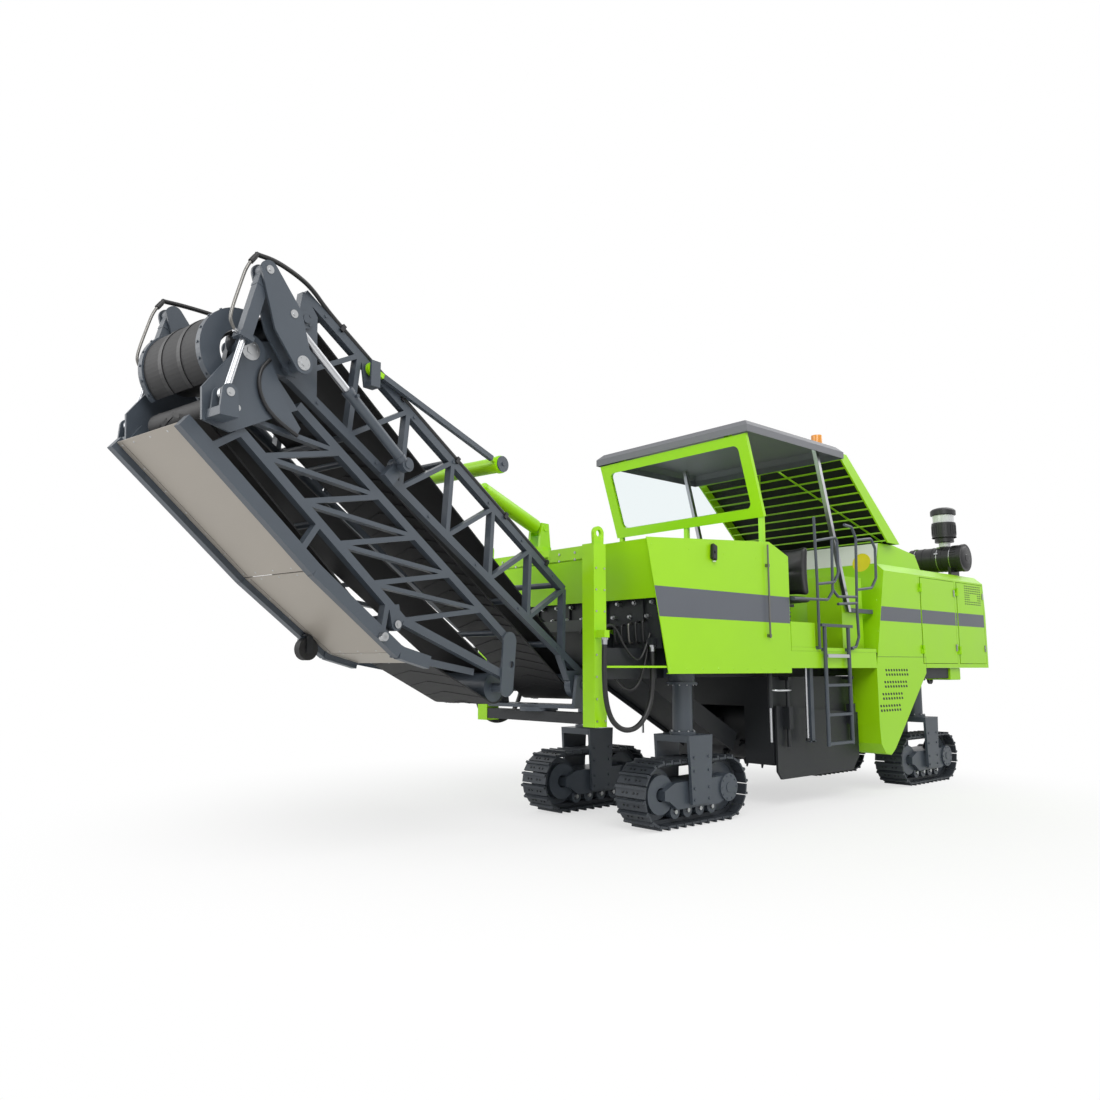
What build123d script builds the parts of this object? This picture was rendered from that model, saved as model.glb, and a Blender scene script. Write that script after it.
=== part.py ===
"""Cold planer with four steered tracks and a folding discharge conveyor, in millimetres.

X runs forward from the front leg columns, Y to the machine's left, Z up from the ground.
The conveyor is modelled in its own upright plane, turned about the kingpin of the front portal,
with the conveyor folded for transport.
"""

import os
from math import atan2, cos, degrees, hypot, pi, radians, sin, tan

from build123d import *

os.makedirs("parts", exist_ok=True)

# ---- running gear ----
WHEELBASE = 4450  # between the front and the rear leg columns
TRACK_OFFSET = 635  # from the machine's middle to each track's middle
TRACK_LENGTH = 1470  # over the grousers
TRACK_HEIGHT = 590
SHOE_WIDTH = 340
SHOE_COUNT = 32
SHOE_PLATE = 18
GROUSER = 20
CHAIN_DEPTH = 35
CHAIN_WIDTH = 110
RUN_GAP = 0.3  # between surfaces that seat on each other
PIN_GAP = 0.05  # a pin's radial clearance in its bore
COLUMN_RADIUS = 92
COLUMN_TOP = 1920
SLEEVE_WALL = 30
SLEEVE_BOTTOM = 1240
YOKE_TOP = 790
LEG_PLATE = 30
LIFT_STROKE = 300

# ---- chassis and milling drum ----
BEAM_OFFSET = 430
BEAM_WIDTH = 120
BEAM_BOTTOM = 1300
BEAM_TOP = 1560
REAR_END = -5560
DRUM_X = -2080
DRUM_Z = 775
DRUM_RADIUS = 395  # of the bare drum tube
PICK_RADIUS = 490  # over the pick tips
DRUM_LENGTH = 1300
HOUSING_FRONT = -1300
HOUSING_REAR = -2830
HOUSING_HALF = 720
HOUSING_WALL = 16
SIDE_PLATE_BOTTOM = 280

# ---- body ----
BODY_HALF = 1000
SKIN = 8
PANEL_BOTTOM = 1350
HOOD_FRONT = -2900  # foot of its leaning front wall
HOOD_LEAN = 270  # its top edge stands this much further back
HOOD_REAR = -5820
HOOD_BOTTOM = 1390
HOOD_SHOULDER = 2500  # where the side bends inwards
HOOD_ROOF = 2590
HOOD_HALF = 1000
DOOR_FRONT = -4000
DOOR_REAR = -4930
REAR_DOOR_FRONT = -4980
REAR_DOOR_REAR = -5770
ROOF_HALF = 1040
ROOF_FRONT = -560
ROOF_REAR = -2320
ROOF_TOP = 3800
ROOF_DEPTH = 130

# ---- front portal and discharge conveyor ----
KINGPIN_X = 1200
SLEW = 9.8  # the conveyor as parked, turned to the left
POST_INNER = 650
POST_OUTER = 790
PORTAL_REAR = -60  # the posts' faces, from the kingpin
PORTAL_FRONT = 80
PORTAL_TOP = 2430
SLEW_BEAM = (930, 1020)  # foot and top of the beam under the conveyor
EYE_Y = 755  # lifting eyes on the portal's posts
EYE_Z = 2520
EYE_RADIUS = 30
EYE_THICK = 30
REAR_EYE_X = -5330  # and under the rear ends of the side beams
REAR_EYE_Z = 1235
BELT_WIDTH = 620
TRUSS_HALF = 400  # to the middle of the side chords
CHORD = 60
LUFF_PIVOT = (0, 1250)
FOLD_HINGE = (3290, 3290)
LEVER_PIVOT = (3020, 3250)
LEVER_TOP = (3280, 3760)
LEVER_EYE = (3100, 3540)
LEVER_KNEE = (3215, 3415)
LINK_EYE = (3500, 2950)
FOLD_CYLINDER_FOOT = (2120, 2780)
HOIST_PIVOT = (0, 2640)
STAY_EYE = (2360, 3420)
LEVER_PLANE = 550  # middle of the fold levers and cylinders, from the conveyor's middle
EAR_INNER = 460
EAR_OUTER = 490
PIVOT_RADIUS = 40
LEVER_GAP = 50  # from there to each of a lever's two plates
EAR_GAP = 48  # and to each of the two ears of the link's eye
PLATE_PLANE = 446  # the tip section's hinge plates
STAY_PLANE = 460
HOIST_BARREL = 800
HOIST_ROD = 34
YOKE_REACH = 1110
INNER_TOP = ((180, 2060), (2900, 3790))
INNER_LOW = ((-420, 1130), (2985, 3215))
BAYS = 6
TIP_UPPER = ((2920, 3040), (860, 1590))
TIP_LOWER = ((3450, 2905), (2000, 1720), (920, 1330))
COVER_LINE = ((3670, 2783), (2740, 2010), (2020, 1500), (1740, 1432))

HALF_RUN = (TRACK_LENGTH - TRACK_HEIGHT) / 2
SHOE_RADIUS = TRACK_HEIGHT / 2 - GROUSER - SHOE_PLATE / 2
CHAIN_OUTER = SHOE_RADIUS - SHOE_PLATE / 2
CHAIN_INNER = CHAIN_OUTER - CHAIN_DEPTH
SHOE_PITCH = (4 * HALF_RUN + 2 * pi * SHOE_RADIUS) / SHOE_COUNT
SLEEVE_BORE = COLUMN_RADIUS + RUN_GAP
SLEEVE_RADIUS = SLEEVE_BORE + SLEEVE_WALL
SLEEVE_TOP = COLUMN_TOP + LIFT_STROKE + 60

CORNERS = {
    "front_left": (0, 1),
    "front_right": (0, -1),
    "rear_left": (-WHEELBASE, 1),
    "rear_right": (-WHEELBASE, -1),
}

CONVEYOR = Plane(
    origin=(KINGPIN_X, 0, 0),
    x_dir=(cos(radians(SLEW)), sin(radians(SLEW)), 0),
    z_dir=(sin(radians(SLEW)), -cos(radians(SLEW)), 0),
)


def side(y):
    """Upright plane along the machine at y, with X and Z as its own axes."""
    return Plane.XZ.offset(-y)


def belt_side(y):
    """The same in the turned conveyor, at y from the conveyor's middle."""
    return CONVEYOR.offset(-y)


def strip(start, end, width):
    """Rectangle from one point of the current sketch to another."""
    run = (end[0] - start[0], end[1] - start[1])
    with Locations(((start[0] + end[0]) / 2, (start[1] + end[1]) / 2)):
        Rectangle(hypot(*run), width, rotation=degrees(atan2(run[1], run[0])))


def outline(*points):
    """Closed straight-sided face through points of the current sketch."""
    Polygon(*points, align=None)


def block(x, y, z, mode=Mode.ADD):
    """Box between the given low and high x, y and z."""
    with Locations(((x[0] + x[1]) / 2, (y[0] + y[1]) / 2, (z[0] + z[1]) / 2)):
        Box(x[1] - x[0], y[1] - y[0], z[1] - z[0], mode=mode)


def along(start, end, share):
    """Point part of the way from one point to another."""
    return (start[0] + (end[0] - start[0]) * share, start[1] + (end[1] - start[1]) * share)


HOIST_LENGTH = hypot(STAY_EYE[0] - HOIST_PIVOT[0], STAY_EYE[1] - HOIST_PIVOT[1])
YOKE_AT = along(HOIST_PIVOT, STAY_EYE, YOKE_REACH / HOIST_LENGTH)


# ---- tracks: one loop of shoes on its chain ----
def shoe_place(step):
    """Where a shoe sits on the loop round its middle, and how far it is turned."""
    straight = 2 * HALF_RUN
    turn = pi * SHOE_RADIUS
    travel = (step + 0.5) * SHOE_PITCH
    if travel < straight:
        return -HALF_RUN + travel, -SHOE_RADIUS, 0
    travel -= straight
    if travel < turn:
        angle = travel / SHOE_RADIUS
        return HALF_RUN + SHOE_RADIUS * sin(angle), -SHOE_RADIUS * cos(angle), degrees(angle)
    travel -= turn
    if travel < straight:
        return HALF_RUN - travel, SHOE_RADIUS, 180
    angle = pi + (travel - straight) / SHOE_RADIUS
    return -HALF_RUN + SHOE_RADIUS * sin(angle), -SHOE_RADIUS * cos(angle), degrees(angle)


with BuildPart() as track:
    with BuildSketch(side(0)):
        for step in range(SHOE_COUNT):
            x, z, turn = shoe_place(step)
            with Locations(Location((x, z + TRACK_HEIGHT / 2), turn)):
                Rectangle(SHOE_PITCH - 9, SHOE_PLATE)
                with Locations((SHOE_PITCH / 2 - 20, -(SHOE_PLATE + GROUSER) / 2)):
                    Rectangle(22, GROUSER)
    extrude(amount=SHOE_WIDTH / 2, both=True)
    with BuildSketch(side(0)):
        with Locations((0, TRACK_HEIGHT / 2)):
            SlotCenterToCenter(2 * HALF_RUN, 2 * CHAIN_OUTER + 1)
            SlotCenterToCenter(2 * HALF_RUN, 2 * CHAIN_INNER, mode=Mode.SUBTRACT)
    extrude(amount=CHAIN_WIDTH / 2, both=True)

# ---- track frame with its idler, drive, rollers and the saddle that straddles the track ----
WHEEL = CHAIN_INNER - RUN_GAP
ROLLER = 62
SADDLE_HALF = 165
with BuildPart() as track_frame:
    with BuildSketch(side(0)):
        with Locations((HALF_RUN, TRACK_HEIGHT / 2), (-HALF_RUN, TRACK_HEIGHT / 2)):
            Circle(WHEEL)
    extrude(amount=45, both=True)
    # box frame between the wheels, and the drive's round cover
    with BuildSketch(side(0)):
        with BuildLine():
            Polyline(
                (-HALF_RUN, 210), (-300, 160), (270, 160), (HALF_RUN - 60, 235),
                (HALF_RUN, 250), (HALF_RUN, 330), (300, 390), (-HALF_RUN, 400), close=True,
            )
        make_face()
    extrude(amount=SHOE_WIDTH / 2 - 12, both=True)
    with BuildSketch(side(SHOE_WIDTH / 2 + 6)):
        with Locations((-HALF_RUN, TRACK_HEIGHT / 2)):
            Circle(125)
    extrude(amount=SHOE_WIDTH + 12)
    with BuildSketch(side(0)):
        with Locations((HALF_RUN, TRACK_HEIGHT / 2)):
            Circle(170)
            Circle(60, mode=Mode.SUBTRACT)
    extrude(amount=110, both=True)
    # bottom rollers run on the chain
    with BuildSketch(side(0)):
        roller_z = TRACK_HEIGHT / 2 - CHAIN_INNER + RUN_GAP + ROLLER
        with Locations(*[(x, roller_z) for x in (-255, -85, 85, 255)]):
            Circle(ROLLER)
    extrude(amount=110, both=True)
    # saddle: a head plate over the track and a leg plate on each side of it
    for y in (SHOE_WIDTH / 2 + 10, -SHOE_WIDTH / 2 - 10 - LEG_PLATE):
        with BuildSketch(side(y + LEG_PLATE)):
            outline((-SADDLE_HALF, YOKE_TOP), (SADDLE_HALF, YOKE_TOP), (130, 190), (-130, 190))
        extrude(amount=LEG_PLATE)
    across = (-SHOE_WIDTH / 2 - 20, SHOE_WIDTH / 2 + 20)
    block((-SADDLE_HALF, SADDLE_HALF), across, (YOKE_TOP - 60, YOKE_TOP))
    block((-120, 120), across, (200, 360))
    with Locations((0, 0, YOKE_TOP)):
        Hole(60 + PIN_GAP, depth=60)

with BuildPart() as leg_column:
    with BuildSketch(Plane.XY.offset(YOKE_TOP + RUN_GAP)):
        Circle(COLUMN_RADIUS + 28)
    extrude(amount=26)
    with BuildSketch(Plane.XY.offset(YOKE_TOP + RUN_GAP)):
        Circle(COLUMN_RADIUS)
    extrude(amount=COLUMN_TOP - YOKE_TOP - RUN_GAP)
    with BuildSketch(Plane.XY.offset(YOKE_TOP - 58)):
        Circle(60)
    extrude(amount=60)

# ---- main frame: side beams, leg sleeves and cross members ----
PANEL_INSIDE = BODY_HALF - SKIN - RUN_GAP
with BuildPart() as main_frame:
    for half in (1, -1):
        with BuildSketch(side(half * BEAM_OFFSET)):
            outline(
                (REAR_END, 1430), (-4900, BEAM_BOTTOM), (500, BEAM_BOTTOM),
                (500, BEAM_TOP), (REAR_END, BEAM_TOP),
            )
        extrude(amount=BEAM_WIDTH / 2, both=True)
        # outriggers, and the arm from the front one to the portal's post
        ends = sorted((half * (BEAM_OFFSET - 50), half * PANEL_INSIDE))
        for x in (-5300, -3500, -1100, 440):
            block((x - 60, x + 60), ends, (BEAM_BOTTOM + 100, BEAM_TOP))
        arm = sorted((half * (POST_INNER + 20), half * (POST_OUTER - 20)))
        block((500 + RUN_GAP, KINGPIN_X + PORTAL_REAR - RUN_GAP), arm, (BEAM_BOTTOM, BEAM_TOP))
        # lifting eye under the rear end
        with BuildSketch(side(half * BEAM_OFFSET)):
            with Locations((REAR_EYE_X, REAR_EYE_Z)):
                Circle(60)
            outline(
                (REAR_EYE_X - 60, REAR_EYE_Z), (REAR_EYE_X + 60, REAR_EYE_Z),
                (REAR_EYE_X + 90, 1400), (REAR_EYE_X - 90, 1400),
            )
            with Locations((REAR_EYE_X, REAR_EYE_Z)):
                Circle(EYE_RADIUS, mode=Mode.SUBTRACT)
        extrude(amount=EYE_THICK / 2, both=True)
    for x in (-5300, -3100, -1100, -500):
        block((x - 60, x + 60), (-BEAM_OFFSET, BEAM_OFFSET), (BEAM_BOTTOM + 20, BEAM_TOP - 20))
    # beam between the posts that carries the slewing base
    block(
        (KINGPIN_X + PORTAL_REAR + 5, KINGPIN_X + PORTAL_FRONT - 5),
        (-POST_INNER + RUN_GAP, POST_INNER - RUN_GAP),
        SLEW_BEAM,
    )
    with Locations((KINGPIN_X, 0, SLEW_BEAM[1])):
        Hole(50 + PIN_GAP, depth=70)

SLEEVE_SEAT = BEAM_OFFSET + BEAM_WIDTH / 2 + RUN_GAP
with BuildPart() as leg_sleeves:
    for x, half in CORNERS.values():
        wall = sorted((half * SLEEVE_SEAT, half * TRACK_OFFSET))
        block((x - 90, x + 90), wall, (BEAM_BOTTOM, SLEEVE_TOP - 60))
    with Locations(*[(x, half * TRACK_OFFSET, SLEEVE_BOTTOM) for x, half in CORNERS.values()]):
        Cylinder(SLEEVE_RADIUS, SLEEVE_TOP - SLEEVE_BOTTOM, align=(Align.CENTER, Align.CENTER, Align.MIN))
    for z in (SLEEVE_BOTTOM, SLEEVE_TOP - 24):
        with Locations(*[(x, half * TRACK_OFFSET, z) for x, half in CORNERS.values()]):
            Cylinder(SLEEVE_RADIUS + 22, 24, align=(Align.CENTER, Align.CENTER, Align.MIN))
    for x, half in CORNERS.values():
        inside = sorted((half * SLEEVE_SEAT, half * (SLEEVE_SEAT - 200)))
        block((x - 160, x + 160), inside, (1200, 2300), mode=Mode.SUBTRACT)
    with Locations(*[(x, half * TRACK_OFFSET, 0) for x, half in CORNERS.values()]):
        Cylinder(SLEEVE_BORE, 8000, mode=Mode.SUBTRACT)

# ---- drum housing, drum, scraper and side plates ----
HOUSING_TOP = BEAM_BOTTOM - RUN_GAP
SHAFT_RADIUS = 90
GUIDE_RADIUS = 20
SIDE_GUIDE = HOUSING_HALF + 75
GUIDES = [(HOUSING_REAR - 45, half * 450, 520) for half in (1, -1)]
for x in (HOUSING_FRONT - 160, HOUSING_REAR + 160):
    GUIDES += [(x, half * SIDE_GUIDE, 600) for half in (1, -1)]
with BuildPart() as drum_housing:
    block((HOUSING_REAR, HOUSING_FRONT), (-HOUSING_HALF, HOUSING_HALF), (420, HOUSING_TOP))
    inner_x = (HOUSING_REAR + HOUSING_WALL, HOUSING_FRONT - HOUSING_WALL)
    inner_y = (-HOUSING_HALF + HOUSING_WALL, HOUSING_HALF - HOUSING_WALL)
    block(inner_x, inner_y, (0, HOUSING_TOP - HOUSING_WALL), mode=Mode.SUBTRACT)
    # the rear wall stops where the scraper takes over, the front wall lets the belt in
    block((HOUSING_REAR - 1, inner_x[0]), inner_y, (0, 950), mode=Mode.SUBTRACT)
    mouth = (-BELT_WIDTH / 2 - 60, BELT_WIDTH / 2 + 60)
    block((inner_x[1], HOUSING_FRONT + 1), mouth, (0, 1000), mode=Mode.SUBTRACT)
    with Locations((DRUM_X, 0, DRUM_Z)):
        Cylinder(SHAFT_RADIUS + PIN_GAP, 4000, rotation=(90, 0, 0), mode=Mode.SUBTRACT)
    # guide rods of the scraper and the side plates, each hung from a bracket
    for x, y, foot in GUIDES:
        reach = sorted((y, max(-HOUSING_HALF, min(HOUSING_HALF, y))))
        front = max(x + 30, HOUSING_REAR + 1)
        block((x - 30, front), (reach[0] - 30, reach[1] + 30), (1266, HOUSING_TOP))
        with Locations((x, y, foot)):
            Cylinder(GUIDE_RADIUS, HOUSING_TOP - 10 - foot, align=(Align.CENTER, Align.CENTER, Align.MIN))

PICK_COUNT = 44
with BuildPart() as milling_drum:
    with BuildSketch(side(0)):
        with Locations((DRUM_X, DRUM_Z)):
            Circle(DRUM_RADIUS)
            Circle(DRUM_RADIUS - 40, mode=Mode.SUBTRACT)
    extrude(amount=DRUM_LENGTH / 2, both=True)
    with BuildSketch(side(0)):
        with Locations((DRUM_X, DRUM_Z)):
            Circle(DRUM_RADIUS - 30)
    extrude(amount=30, both=True)
    with BuildSketch(side(0)):
        with Locations((DRUM_X, DRUM_Z)):
            Circle(SHAFT_RADIUS)
    extrude(amount=HOUSING_HALF - 1, both=True)
    # picks in two helices that meet in the middle and throw towards the belt
    for pick in range(PICK_COUNT):
        half = 1 if pick % 2 else -1
        turn = 360 * 3.382 * pick / PICK_COUNT + (90 if half > 0 else 0)
        foot = Plane(
            origin=(DRUM_X, half * (20 + (DRUM_LENGTH / 2 - 60) * pick / PICK_COUNT), DRUM_Z),
            z_dir=(sin(radians(turn)), 0, cos(radians(turn))),
        )
        with BuildSketch(foot.offset(DRUM_RADIUS - 4)):
            Rectangle(46, 60)
        extrude(amount=40)
        with BuildSketch(foot.offset(DRUM_RADIUS + 30)):
            Circle(19)
        extrude(amount=PICK_RADIUS - DRUM_RADIUS - 30, taper=9)

# belt that lifts the millings from the drum to the discharge conveyor
FEED_LINE = ((-1180, 640), (960, 1780))
FEED_HALF = 330
with BuildPart() as feed_conveyor:
    for half in (1, -1):
        with BuildSketch(side(half * (FEED_HALF - 8))):
            strip(FEED_LINE[0], FEED_LINE[1], 190)
            hanger = BEAM_BOTTOM + 20 - RUN_GAP
            outline((-540, 1000), (-460, 1000), (-460, hanger), (-540, hanger))
        extrude(amount=8, both=True)
    with BuildSketch(side(0)):
        strip(along(*FEED_LINE, 0.01), along(*FEED_LINE, 0.99), 120)
    extrude(amount=FEED_HALF - 40, both=True)
    for share in (0.2, 0.5, 0.8):
        with BuildSketch(side(0)):
            with Locations(along(*FEED_LINE, share)):
                Circle(30)
        extrude(amount=FEED_HALF - 10, both=True)

with BuildPart() as scraper:
    block((HOUSING_REAR - 20, HOUSING_REAR - 6), (-HOUSING_HALF + 30, HOUSING_HALF - 30), (300, 1000))
    for x, y, foot in GUIDES[:2]:
        block((x - 32, HOUSING_REAR - 10), (y - 32, y + 32), (780, 1000))
        with Locations((x, y, 700)):
            Cylinder(GUIDE_RADIUS + PIN_GAP, 1000, mode=Mode.SUBTRACT)

SIDE_GAP = 12
SIDE_THICK = 25
side_plates = {}
for name, half in (("side_plate_left", 1), ("side_plate_right", -1)):
    with BuildPart() as side_plate:
        inner = HOUSING_HALF + SIDE_GAP
        with BuildSketch(side(half * (inner + SIDE_THICK / 2))):
            outline(
                (HOUSING_FRONT - 10, 360), (HOUSING_FRONT - 80, SIDE_PLATE_BOTTOM),
                (HOUSING_REAR + 100, SIDE_PLATE_BOTTOM), (HOUSING_REAR - 40, 420),
                (HOUSING_REAR - 40, 900), (HOUSING_FRONT - 10, 1010),
            )
        extrude(amount=SIDE_THICK / 2, both=True)
        for x, y, foot in GUIDES[2:]:
            if y * half > 0:
                lug = sorted((half * (inner + SIDE_THICK - 1), y + half * 34))
                block((x - 34, x + 34), lug, (780, 1000))
                with Locations((x, y, 700)):
                    Cylinder(GUIDE_RADIUS + PIN_GAP, 1000, mode=Mode.SUBTRACT)
    side_plates[name] = side_plate

# ---- hydraulic hose in a free loop between the portal's post and the pumps ----
HOSE = 44
HOSE_Y = 875
HOSE_START = (1245, 1640)
HOSE_END = (668, 1590)
HOSE_ROUTE = (
    (HOSE_START[0], HOSE_START[1] - 2), (1262, 1300), (1210, 1004.6), (1064.5, 882.5),
    (884.5, 882.5), (739, 1004.6), (660.3, 1220.7), (HOSE_END[0], HOSE_END[1] - 1),
)
HOSE_RADII = []
for before, here, after in zip(HOSE_ROUTE, HOSE_ROUTE[1:], HOSE_ROUTE[2:]):
    run = (here[0] - before[0], here[1] - before[1])
    onward = (after[0] - here[0], after[1] - here[1])
    turn = atan2(onward[1], onward[0]) - atan2(run[1], run[0])
    turn = abs((turn + pi) % (2 * pi) - pi)
    HOSE_RADII.append(0.45 * min(hypot(*run), hypot(*onward)) / tan(turn / 2))

hoses = {}
for name, half in (("front_hose_left", 1), ("front_hose_right", -1)):
    with BuildPart() as front_hose:
        with BuildLine(side(half * HOSE_Y)) as hose_line:
            FilletPolyline(*HOSE_ROUTE, radius=HOSE_RADII)
        with BuildSketch(Plane(origin=hose_line.line @ 0, z_dir=hose_line.line % 0)):
            Circle(HOSE / 2)
        sweep(path=hose_line.line)
    hoses[name] = front_hose
hose_length = sum(edge.length for edge in hose_line.edges())
print("hose", round(hose_length), "mm, bend radii", [round(radius) for radius in HOSE_RADII])

# ---- front portal: two posts with lifting eyes, the top beam with the hoist swivel's tongue ----
with BuildPart() as front_portal:
    for half in (1, -1):
        post = sorted((half * POST_INNER, half * POST_OUTER))
        block((KINGPIN_X + PORTAL_REAR, KINGPIN_X + PORTAL_FRONT), post, (SLEW_BEAM[0] - 20, PORTAL_TOP))
        with BuildSketch(side(half * EYE_Y)):
            with Locations((KINGPIN_X, EYE_Z)):
                Circle(60)
            outline(
                (KINGPIN_X - 55, PORTAL_TOP - 5), (KINGPIN_X + 55, PORTAL_TOP - 5),
                (KINGPIN_X + 60, EYE_Z), (KINGPIN_X - 60, EYE_Z),
            )
            with Locations((KINGPIN_X, EYE_Z)):
                Circle(EYE_RADIUS, mode=Mode.SUBTRACT)
        extrude(amount=EYE_THICK / 2, both=True)
        # fitting that the hydraulic hose leaves downwards
        fitting = sorted((half * (POST_OUTER - 1), half * (HOSE_Y + 28)))
        block((HOSE_START[0] - 28, HOSE_START[0] + 28), fitting, (HOSE_START[1], HOSE_START[1] + 60))
    between = (-POST_INNER + RUN_GAP, POST_INNER - RUN_GAP)
    block((KINGPIN_X + PORTAL_REAR, KINGPIN_X + 20), between, (PORTAL_TOP - 110, PORTAL_TOP))
    with BuildSketch(Plane.XY.offset(PORTAL_TOP - 60)):
        outline(
            (KINGPIN_X, -170), (KINGPIN_X + 70, -110), (KINGPIN_X + 115, -60),
            (KINGPIN_X + 115, 60), (KINGPIN_X + 70, 110), (KINGPIN_X, 170),
        )
    extrude(amount=60)
    with Locations((KINGPIN_X, 0, PORTAL_TOP)):
        Hole(50 + PIN_GAP, depth=100)

# ---- body ----
with BuildPart() as side_panels:
    for half in (1, -1):
        with BuildSketch(side(half * (BODY_HALF - SKIN / 2))):
            outline(
                (600, PANEL_BOTTOM), (860, 2500), (-920, 2620), (-1240, 2500), (-1240, PANEL_BOTTOM),
            )
        extrude(amount=SKIN / 2, both=True)

with BuildPart() as front_deck:
    with BuildSketch(side(0)):
        outline((722, 1990), (732, 1990), (845, 2490), (-915, 2609), (-915, 2600), (835, 2480))
    extrude(amount=PANEL_INSIDE, both=True)

# dark housing of the pumps and valves between the front leg columns and the portal
with BuildPart() as pump_bay:
    block((180, 640), (-960, 960), (1760, 2240))
    for half in (1, -1):
        block((180, 640), sorted((half * 380, half * 960)), (BEAM_TOP + RUN_GAP, 1770))
        fitting = sorted((half * (HOSE_Y - 28), half * (HOSE_Y + 28)))
        block((639, HOSE_END[0] + 28), fitting, (HOSE_END[1], HOSE_END[1] + 60))

FLOOR = 1600
with BuildPart() as operator_platform:
    block((HOOD_FRONT + RUN_GAP, -1250), (-1000, 1000), (BEAM_TOP + RUN_GAP, FLOOR))
    block((-1251, -1000), (-PANEL_INSIDE + 10, PANEL_INSIDE - 10), (BEAM_TOP + RUN_GAP, FLOOR))

# control consoles, cabinets before the hood, kick plates and the walls under the platform's edges
with BuildPart() as platform_panels:
    for half in (1, -1):
        for x, reach, top in (((-1210, -1040), (450, 900), 2360), ((-2890, -2450), (430, 860), 2400)):
            block(x, sorted((half * reach[0], half * reach[1])), (FLOOR + RUN_GAP, top))
        block((-1680, -1250), sorted((half * 985, half * 1000)), (FLOOR + RUN_GAP, 1850))
        wall = sorted((half * 985, half * 1000))
        block((HOOD_FRONT + RUN_GAP, -1240 - RUN_GAP), wall, (1390, BEAM_TOP))

with BuildPart() as windscreen_frame:
    pane = Plane(origin=(-870, 0, 2870), x_dir=(0, 1, 0), z_dir=(800, 0, -270))
    with BuildSketch(pane):
        with Locations((0, 420)):
            Rectangle(2000, 840)
            RectangleRounded(1760, 640, 60, mode=Mode.SUBTRACT)
    extrude(amount=20, both=True)
    # posts below it on the deck, and two brackets up to the roof
    for y in (-950, 0, 950):
        block((-900, -860), (y - 25, y + 25), (2608.5 + RUN_GAP, 2900))
    for half in (1, -1):
        block((-700, -640), sorted((half * 700, half * 760)), (3600, ROOF_TOP - 6 - RUN_GAP))

with BuildPart() as windscreen_glass:
    with BuildSketch(pane):
        with Locations((0, 420)):
            RectangleRounded(1760 - 1, 640 - 1, 60)
    extrude(amount=3, both=True)

with BuildPart() as roof:
    block((ROOF_REAR, ROOF_FRONT), (-ROOF_HALF, ROOF_HALF), (ROOF_TOP - ROOF_DEPTH, ROOF_TOP))
    chamfer(roof.edges().group_by(Axis.Z)[-1], 60)
    offset(amount=-6, openings=roof.faces().sort_by(Axis.Z)[0])

HOOD_TOP = 2835 + RUN_GAP
with BuildPart() as louvre_panel:
    for half in (1, -1):
        with BuildSketch(side(half * (BODY_HALF - 10))):
            outline(
                (ROOF_REAR - RUN_GAP, 3740), (-2450, 3740), (-3560, HOOD_TOP),
                (-3290, HOOD_TOP), (ROOF_REAR - RUN_GAP, 3690),
            )
        extrude(amount=10, both=True)
    slats = 11
    for step in range(slats):
        x, z = along((-2345, 3680), (-3280, 2860), step / (slats - 1))
        block((x - 30, x + 10), (-BODY_HALF + 10, BODY_HALF - 10), (z - 6, z + 6))
    with BuildSketch(side(0)):
        outline((-2480, 3700), (-2500, 3700), (-3560, HOOD_TOP), (-3540, HOOD_TOP))
    extrude(amount=BODY_HALF - 10, both=True)

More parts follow.
